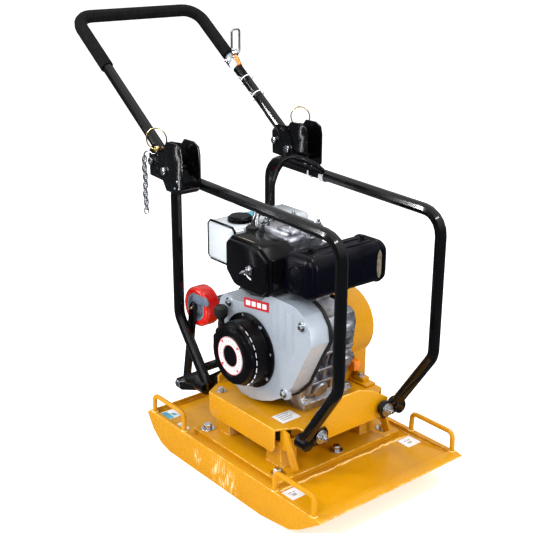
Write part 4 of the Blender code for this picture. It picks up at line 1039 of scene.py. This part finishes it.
add_label(plaque, spots, (0, -1, 0), 0.8 * MM, 0)
bars = ((-0.084, -0.068), (-0.062, -0.048), (-0.042, -0.028), (-0.022, -0.008))
for start, end in bars:
    rise = [0.4400 + 0.13 * (x + 0.092) for x in (start, end)]
    spots = [(start, front - 1.2 * MM, rise[0]), (end, front - 1.2 * MM, rise[1])]
    spots += [(end, front - 1.2 * MM, rise[1] + 12 * MM), (start, front - 1.2 * MM, rise[0] + 12 * MM)]
    add_label(plaque, spots, (0, -1, 0), 0.3 * MM, 1)
shown("casing_plaque", plaque, (SCARLET, PAPER), "machine", 20)


# ---------------------------------------------------------------- recoil starter
# A pressed steel pot in satin black, bolted to the casing by its rim. It has air slots round its edge, drawn as
# thin white strips of painted light seen through them, a mouth for the rope and a printed ring on its face.

CRANK = Vector(JOINTS["crankshaft_spin"]["pos_m"])

low, high = (Vector(corner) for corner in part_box("recoil_starter"))
front = low.y
middle = Vector((CRANK.x, front, CRANK.z))
shape = bmesh.new()
depth = high.y - front
profile = [(0, 1 * MM), (52 * MM, 1 * MM), (54 * MM, 0), (66 * MM, 0), (70 * MM, 2 * MM), (72 * MM, 6 * MM)]
profile += [(72 * MM, 14 * MM), (75 * MM, 18 * MM), (78 * MM, 20 * MM), (79 * MM, 28 * MM),
            (79 * MM, depth - 14 * MM)]
profile += [(82 * MM, depth - 8 * MM), (92 * MM, depth - 6 * MM), (92 * MM, depth - 0.5 * MM),
            (70 * MM, depth - 0.5 * MM)]
add_turned(shape, profile, middle, (0, 1, 0), 64)
exit_low = Vector((CRANK.x - 86 * MM, high.y - 22 * MM, CRANK.z + 14 * MM))
add_turned(shape, [(0, -20 * MM), (12 * MM, -20 * MM), (14 * MM, -16 * MM), (14 * MM, 14 * MM),
                   (10 * MM, 19 * MM), (4 * MM, 19 * MM), (4 * MM, 4 * MM), (0, 4 * MM)], exit_low,
           (0, 0, 1), 24)
add_block(shape, (CRANK.x - 94 * MM, high.y - 44 * MM, CRANK.z - 30 * MM),
          (CRANK.x - 62 * MM, high.y - 8 * MM, CRANK.z + 24 * MM), 8 * MM)
starter = shown("recoil_starter_shell", shape, SATIN, "machine")
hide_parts("recoil_starter")
# The air slots: thin white strips on the pot's rim, painted light seen through the slots.
slots = bmesh.new()
for step in range(9):
    start = math.radians(-58 + 14 * step)
    angles = [start + math.radians(9) * part / 4 for part in range(5)]
    outer = [(78.6 * MM * math.cos(a), 78.6 * MM * math.sin(a)) for a in angles]
    inner = [(76.4 * MM * math.cos(a), 76.4 * MM * math.sin(a)) for a in reversed(angles)]
    points = [(middle.x + a, front + 20.0 * MM - 1.0 * MM, middle.z + b) for a, b in outer + inner]
    add_label(slots, points, (0, -1, 0), 0.5 * MM)
shown("starter_slots_painted_light", slots, PAPER, "machine", 20)
bolts = bmesh.new()
for step in range(8):
    a = math.radians(12 + 45 * step)
    place = (middle.x + 86.5 * MM * math.cos(a), high.y - 6 * MM, middle.z + 86.5 * MM * math.sin(a))
    add_bolt(bolts, place, (0, -1, 0), 9 * MM if step % 2 else 6 * MM, washer=False)
shown("starter_bolts", bolts, STEEL, "machine")
label = bmesh.new()
add_ring(label, middle + Vector((0, 0.4 * MM, 0)), (0, -1, 0), 47 * MM, 26 * MM, 1.0 * MM, 64, 0)
add_ring(label, middle + Vector((0, -0.3 * MM, 0)), (0, -1, 0), 46.5 * MM, 45 * MM, 0.8 * MM, 64, 1)
add_ring(label, middle + Vector((0, -0.3 * MM, 0)), (0, -1, 0), 28 * MM, 26.5 * MM, 0.8 * MM, 64, 1)
for step in range(4):
    a = math.radians(45 + 90 * step)
    out = Vector((math.cos(a), 0, math.sin(a)))
    side = Vector((-math.sin(a), 0, math.cos(a)))
    tip = middle + Vector((0, -0.7 * MM, 0)) + out * 34 * MM
    spots = [tip - side * 5 * MM + out * 9 * MM, tip + side * 5 * MM + out * 9 * MM, tip]
    add_label(label, spots, (0, -1, 0), 0.5 * MM, 1)
    for part in range(6):
        b = a + math.radians(14 + 12.5 * part)
        dot = middle + Vector((0, -0.7 * MM, 0)) + Vector((math.cos(b), 0, math.sin(b))) * 37 * MM
        turn = Matrix.Rotation(-b, 4, "Y")
        spots = [dot + turn.to_3x3() @ Vector((x * MM, 0, z * MM)) for x,
                 z in ((-3, -1), (3, -1), (3, 1), (-3, 1))]
        add_label(label, spots, (0, -1, 0), 0.3 * MM, 2)
shown("starter_ring_label", label, (PAPER, SCARLET, INK), "machine", 20)


# ---------------------------------------------------------------- starter grip and rope
# A moulded rubber grip on a thin braided rope.

low, high = (Vector(corner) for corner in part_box("starter_grip"))
middle = (low + high) / 2
grip = bmesh.new()
profile = [(0, 0), (6, 0), (8.5, 4), (8.5, 14), (7, 20), (11, 26), (15, 30), (16.8, 36), (17, 46),
           (16, 53), (12, 57), (0, 58)]
add_turned(grip, [(r * MM, t * MM) for r, t in profile], (middle.x, middle.y, low.z), (0, 0, 1), 28)
held = shown("starter_grip_body", grip, RUBBER, "starter_grip")
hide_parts("starter_grip")
rope = bmesh.new()
foot = Vector((middle.x, middle.y, low.z - 14 * MM))
top = Vector((middle.x, middle.y, low.z + 6 * MM))
path = [foot.lerp(top, step / 24) for step in range(25)]
add_tube(rope, path, 2.2 * MM, 10)
line = shown("starter_rope", rope, INK, None)
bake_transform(line)


# ---------------------------------------------------------------- air cleaner
# A moulded black box in two halves with cut corners, held shut by a zinc wing nut. Its top has gathered
# dust. A beige line along its top rim is a painted highlight.

BROWN = surface(
    "dusty_top", (0.10, 0.075, 0.055), (0.045, 0.035, 0.03), (0.3, 0.27, 0.22), bump=0.4, shine=0.3,
    blotch=0.9, blotch_size=0.012, roughness=0.45,
)
# Beige for painted highlights: the line along the air cleaner's top rim and the crescent by the muffler's
# outlet.
BEIGE = surface(
    "beige_painted_highlight", (0.34, 0.29, 0.20), (0.10, 0.08, 0.06), (0.4, 0.36, 0.28), bump=0.4,
    blotch=0.9, blotch_size=0.008, roughness=0.5, metallic=0.5,
)

low, high = (Vector(corner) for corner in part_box("air_cleaner"))
shape = bmesh.new()
wide, tall = high.x - low.x, high.z - low.z
points = [(0, 34 * MM), (30 * MM, 4 * MM), (44 * MM, 0), (wide - 14 * MM, 0), (wide, 14 * MM),
          (wide, tall - 26 * MM)]
points += [(wide - 34 * MM, tall - 4 * MM), (wide - 52 * MM, tall), (12 * MM, tall), (0, tall - 12 * MM)]
back = Vector((low.x, high.y, low.z))
add_outline(shape, points, back, (1, 0, 0), (0, 0, 1), high.y - low.y - 12 * MM, 5 * MM)
add_outline(shape, points, Vector((low.x, low.y + 22 * MM, low.z)), (1, 0, 0), (0, 0, 1), 9 * MM, 3.5 * MM)
inner = [((a - wide / 2) * 0.93 + wide / 2, (b - tall / 2) * 0.91 + tall / 2) for a, b in points]
add_outline(shape, inner, Vector((low.x, low.y + 14 * MM, low.z)), (1, 0, 0), (0, 0, 1), 14 * MM, 4 * MM)
obj = shown("air_cleaner_shell", shape, SATIN, "machine")
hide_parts("air_cleaner")
nut = bmesh.new()
middle = Vector((-0.036, low.y + 0.5 * MM, 0.546))
add_disc(nut, middle, (0, -1, 0), 11 * MM, 2 * MM, 0.6 * MM)
add_turned(nut, [(7 * MM, 0), (6 * MM, 8 * MM), (4 * MM, 10 * MM), (0, 10 * MM)], middle, (0, -1, 0), 20)
for sign in (-1, 1):
    wing = [middle + Vector((sign * 3 * MM, -5 * MM, sign * 2 * MM)),
            middle + Vector((sign * 11 * MM, -10 * MM, sign * 6 * MM))]
    wing.append(middle + Vector((sign * 15 * MM, -13 * MM, sign * 9 * MM)))
    add_tube(nut, smooth_path(wing, 4), lambda t: (2.6 + 1.8 * math.sin(math.pi * t)) * MM, 10)
add_tube(nut, [middle + Vector((-12 * MM, -1.5 * MM, -12 * MM)),
               middle + Vector((10 * MM, -1.5 * MM, -20 * MM))], 2.4 * MM, 8)
shown("air_cleaner_wing_nut", nut, STEEL, "machine")
corners = [(16 * MM, low.y + 34 * MM), (98 * MM, low.y + 34 * MM), (98 * MM, high.y - 26 * MM),
           (16 * MM, high.y - 26 * MM)]
spots = [(low.x + x, y, high.z - 0.4 * MM) for x, y in corners]
dusty = bmesh.new()
add_label(dusty, spots, (0, 0, 1), 0.3 * MM)
shown("air_cleaner_top", dusty, BROWN, "machine", 20)
# A beige line along the top rim of the front half: a painted highlight.
line = [(low.x + 14 * MM, high.z - 1.5 * MM), (low.x + 98 * MM, high.z - 1.5 * MM),
        (high.x - 4 * MM, high.z - 27 * MM)]
path = [(x, low.y + 18 * MM, z) for x, z in line]
edge = bmesh.new()
add_tube(edge, smooth_path(path, 6), 1.2 * MM, 8)
shown("air_cleaner_rim_highlight", edge, BEIGE, "machine")


# ---------------------------------------------------------------- muffler
# A rolled sheet box in heat-proof black, crimped round both ends, with a pressed ring on its face, two
# stiffening ribs on top, and a beige crescent by its outlet, which is a painted highlight.

HEAT = surface(
    "heat_black", (0.0006, 0.0009, 0.0045), (0.002, 0.0016, 0.0024), (0.08, 0.09, 0.16),
    (0.06, 0.05, 0.05), 0.05, 0.0, 0.13,
    blotch_size=0.05, edge_wear=0.4, dust=0.08, roughness=0.27, swing=0.15, grain_size=0.0025, specks=0.03,
)

low, high = (Vector(corner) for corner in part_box("muffler"))
middle = (low + high) / 2
shape = bmesh.new()
size = high - low

def section(y, inset, corner):
    """A rounded rectangle across the muffler at this y, as a closed run of points."""
    points = []
    wide, tall = size.x / 2 - inset, size.z / 2 - inset
    for a, b, start in ((1, 1, 0), (-1, 1, 90), (-1, -1, 180), (1, -1, 270)):
        for step in range(7):
            turn = math.radians(start + 15 * step)
            x = middle.x + a * (wide - corner) + corner * math.cos(turn)
            points.append(Vector((x, y, middle.z + b * (tall - corner) + corner * math.sin(turn))))
    return points

stations = [(0, 17, 12), (2, 10, 18), (7, 4, 24), (13, 1.2, 27), (16, 0, 28), (20, 0, 28), (22, 2.6, 26)]
stations += [(112, 3.0, 26), (114, 1.0, 28), (120, 1.0, 28), (122, 3.0, 26), (size.y / MM - 24, 2.6, 26)]
stations += [(size.y / MM - 22, 0, 28), (size.y / MM - 18, 0, 28), (size.y / MM - 10, 2.5, 26)]
stations += [(size.y / MM - 4, 8, 20), (size.y / MM, 18, 12)]
shell = bmesh.new()
loops = []
for y, inset, corner in stations:
    rim = [shell.verts.new(point) for point in section(low.y + y * MM, inset * MM, corner * MM)]
    loops.append([shell.edges.new(pair) for pair in zip(rim, rim[1:] + rim[:1])])
for before, after in zip(loops, loops[1:]):
    bmesh.ops.bridge_loops(shell, edges=before + after)
bmesh.ops.holes_fill(shell, edges=shell.edges, sides=0)
joined(shape, shell)
face = low.y
path = [(middle.x - 2 * MM + 25 * MM * math.cos(a), face + 0.5 * MM,
         middle.z - 4 * MM + 28 * MM * math.sin(a)) for a in
        [math.tau * step / 40 for step in range(40)]]
add_tube(shape, path, 2.0 * MM, 8, closed=True)
for x, wide in ((low.x + 28 * MM, 16 * MM), (low.x + 56 * MM, 20 * MM)):
    add_block(shape, (x, low.y + 26 * MM, high.z - 6 * MM),
              (x + wide, high.y - 30 * MM, high.z - 0.4 * MM), 2 * MM)
muffler = shown("muffler_shell", shape, HEAT, "machine", 40)
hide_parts("muffler")
bolts = bmesh.new()
for y in (low.y + 40 * MM, high.y - 42 * MM):
    add_bolt(bolts, (low.x + 54 * MM, y, high.z + 0.5 * MM), (0, 0, 1), 10 * MM)
shown("muffler_bolts", bolts, SATIN, "machine")
# A beige crescent on the front face near the outlet end: a painted highlight.
worn_and_highlight = bmesh.new()
count = 14
outer, inner = [], []
for step in range(count + 1):
    a = math.radians(-52 + 104 * step / count)
    bulge = 1 - (2 * step / count - 1) ** 2
    outer.append((middle.y + 74 * MM + 32 * MM * math.cos(a) * 0.8, middle.z + 44 * MM * math.sin(a)))
    inner.append((middle.y + 70 * MM + (32 * math.cos(a) * 0.8 - 14 * bulge) * MM,
                  middle.z + 40 * MM * math.sin(a)))
spots = [(high.x - 2.9 * MM, y, z) for y, z in outer + inner[::-1][1:-1]]
add_label(worn_and_highlight, spots, (1, 0, 0), 0.5 * MM)
shown("muffler_painted_highlight", worn_and_highlight, BEIGE, "machine", 20)


# ---------------------------------------------------------------- fuel tank and cap
# A pale painted sheet tank, seamed round its front edge and strapped to the cylinder. Its cap is black
# plastic with a fluted rim.

TANK = surface(
    "tank_paint", (0.66, 0.71, 0.75), (0.74, 0.77, 0.79), (0.9, 0.9, 0.9), (0.45, 0.47, 0.50), 0.04, 0.5,
    blotch_size=0.07, edge_wear=0.3, dust=0.2, roughness=0.2, metallic=0.15,
)

low, high = (Vector(corner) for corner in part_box("fuel_tank"))
rounded("fuel_tank", 0, TANK)
rounded("fuel_cap", 1.2 * MM, SATIN, 2)
seam = bmesh.new()
ring = []
for a, b in ((0.09, 0), (0.91, 0), (1, 0.09), (1, 0.91), (0.91, 1), (0.09, 1), (0, 0.91), (0, 0.09)):
    ring.append(Vector((low.x + a * (high.x - low.x), low.y + 5 * MM, low.z + b * (high.z - low.z))))
add_tube(seam, ring, 3.0 * MM, 8, closed=True)
shown("tank_seams", seam, SATIN, "machine", 40)
film = bmesh.new()
flat_label(film, low.x + 34 * MM, low.y + 104 * MM, high.z, 34 * MM, 60 * MM, 0.0,
           [(0.0, 0.0, 1.0, 1.0, 1)])
shown("tank_label", film, (PAPER, CYAN), "machine", 20)
strap = bmesh.new()
for y in (-0.058, 0.058):
    add_block(strap, (high.x - 4 * MM, y - 11 * MM, 0.512),
              (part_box("cylinder")[0][0] + 6 * MM, y + 11 * MM, 0.517), 0.8 * MM)
    add_block(strap, (low.x + 16 * MM, y - 11 * MM, low.z - 4 * MM),
              (high.x - 2 * MM, y + 11 * MM, low.z + 1 * MM), 0.8 * MM)
shown("tank_straps", strap, SATIN, "machine")
grip = bmesh.new()
cap_low, cap_high = (Vector(corner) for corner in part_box("fuel_cap"))
centre = (cap_low + cap_high) / 2
for step in range(18):
    a = math.tau * step / 18
    place = Vector((centre.x + 29.6 * MM * math.cos(a), centre.y + 29.6 * MM * math.sin(a),
                    cap_low.z + 1 * MM))
    add_tube(grip, [place, place + Vector((0, 0, 8.5 * MM))], 1.3 * MM, 6)
shown("fuel_cap_grips", grip, SATIN, "fuel_cap")


# ---------------------------------------------------------------- fuel filter and hoses
# A black moulded filter bowl on the tank's side, with rubber hoses pushed over its pipes and over those of
# the tank and the cylinder head, beside the throttle's arm.

shape = bmesh.new()
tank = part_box("fuel_tank")[1]
add_disc(shape, (tank[0] + 9 * MM, -0.070, 0.560), (0, 0, 1), 15 * MM, 54 * MM, 4 * MM)
add_disc(shape, (tank[0] + 9 * MM, -0.070, 0.545), (0, 0, 1), 9 * MM, 18 * MM, 3 * MM)
route = [(tank[0] - 10 * MM, -0.020, 0.628), (tank[0] + 6 * MM, -0.046, 0.638),
         (tank[0] + 9 * MM, -0.070, 0.612)]
add_tube(shape, smooth_path(route), 5.5 * MM, 12)
route = [(tank[0] - 4 * MM, 0.010, 0.610), (tank[0] + 10 * MM, -0.010, 0.630),
         (tank[0] + 24 * MM, -0.036, 0.622)]
route += [(tank[0] + 30 * MM, -0.062, 0.604), (tank[0] + 26 * MM, -0.080, 0.590)]
add_tube(shape, smooth_path(route), 5 * MM, 12)
add_block(shape, (tank[0] + 14 * MM, -0.062, 0.588), (tank[0] + 40 * MM, -0.030, 0.606), 4 * MM)
shown("fuel_hoses", shape, RUBBER, "machine")


# ---------------------------------------------------------------- belt guard
# A deep pressed cover over the belt, painted amber. It stands on a welded foot, is held by four zinc bolts,
# and has an orange plug beside its foot.

low, high = (Vector(corner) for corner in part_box("belt_guard"))
rounded("belt_guard", 9 * MM, AMBER, 5)
foot = bmesh.new()
neck = CRANK.x + 67 * MM
add_block(foot, (neck - 4 * MM, 0.140, 0.1955), (neck + 62 * MM, 0.174, 0.2005), 1.5 * MM)
add_block(foot, (neck + 8 * MM, 0.146, 0.1995), (neck + 44 * MM, 0.170, 0.2125), 3 * MM)
points = [(0, 0), (26 * MM, 0), (4 * MM, 52 * MM), (0, 52 * MM)]
add_outline(foot, points, (neck - 1 * MM, 0.158, 0.199), (1, 0, 0), (0, 0, 1), 4 * MM, 0.8 * MM)
shown("guard_foot", foot, AMBER, "machine")
bolts = bmesh.new()
add_bolt(bolts, (neck + 26 * MM, 0.157, 0.212), (0, 0, 1), ACROSS_M8)
add_bolt(bolts, (neck + 2 * MM, 0.140, 0.262), (1, 0, 0), ACROSS_M8)
add_bolt(bolts, (CRANK.x, high.y - 0.5 * MM, CRANK.z), (0, 1, 0), ACROSS_M8)
add_bolt(bolts, (CRANK.x, high.y - 0.5 * MM, 0.222), (0, 1, 0), ACROSS_M8)
shown("guard_bolts", bolts, STEEL, "machine")
plug = bmesh.new()
add_block(plug, (neck - 2 * MM, 0.136, 0.226), (neck + 22 * MM, 0.160, 0.252), 4 * MM)
shown("orange_plug", plug, ORANGE, "machine")


# ---------------------------------------------------------------- transport wheels
# Red polyurethane tyres on blue-grey hubs, on an axle between two flat arms. The arms swing down behind
# the plate on bolts in the frame's cross bar, and brass-coloured nipples grease the axle.

RED = surface(
    "red_polyurethane", (0.66, 0.008, 0.004), (0.50, 0.005, 0.003), (0.85, 0.2, 0.15), (0.45, 0.12, 0.08),
    0.1, 0.3, 0.3,
    blotch_size=0.03, edge_wear=0.4, dust=0.1, roughness=0.22, grain_size=0.002, specks=0.02,
)
HUB = surface(
    "blue_grey", (0.10, 0.13, 0.19), (0.17, 0.20, 0.26), (0.5, 0.5, 0.5), bump=0.1,
    blotch_size=0.015, edge_wear=0.5, dust=0.1, roughness=0.4,
)

rounded("wheel_carrier", 1.2 * MM, BLACK)
nipples = bmesh.new()
catch = bmesh.new()
for side, sign in SIDES.items():
    rounded(f"wheel_hub_{side}", 1.0 * MM, HUB)
    rounded(f"tyre_{side}", 2.0 * MM, RED, 3)
    rounded(f"carrier_bolt_{side}", 1.0 * MM, STEEL)
    middle = centre_of(f"tyre_{side}")
    outer = Vector((middle.x, sign * 0.1315, middle.z))
    add_disc(nipples, outer + Vector((0, -sign * 1 * MM, 0)), (0, sign, 0), 11 * MM, 2 * MM, 0.6 * MM, 24)
    add_turned(nipples, [(4 * MM, 0), (4 * MM, 5 * MM), (2 * MM, 7 * MM), (2.6 * MM, 9 * MM),
                         (0, 10 * MM)], outer, (0, sign, 0), 14)
    arm = [(-10 * MM, -14 * MM), (52 * MM, -6 * MM), (58 * MM, 4 * MM), (52 * MM, 14 * MM),
           (-10 * MM, 14 * MM)]
    place = Vector((middle.x + 4 * MM, sign * 0.1255 + 1.5 * MM, middle.z + 24 * MM))
    add_outline(catch, arm, place, (1, 0, 0), (0, 0, 1), 3 * MM, 0.8 * MM)
shown("axle_nipples", nipples, GOLD, "wheel_carrier")
shown("carrier_catches", catch, HUB, "wheel_carrier")
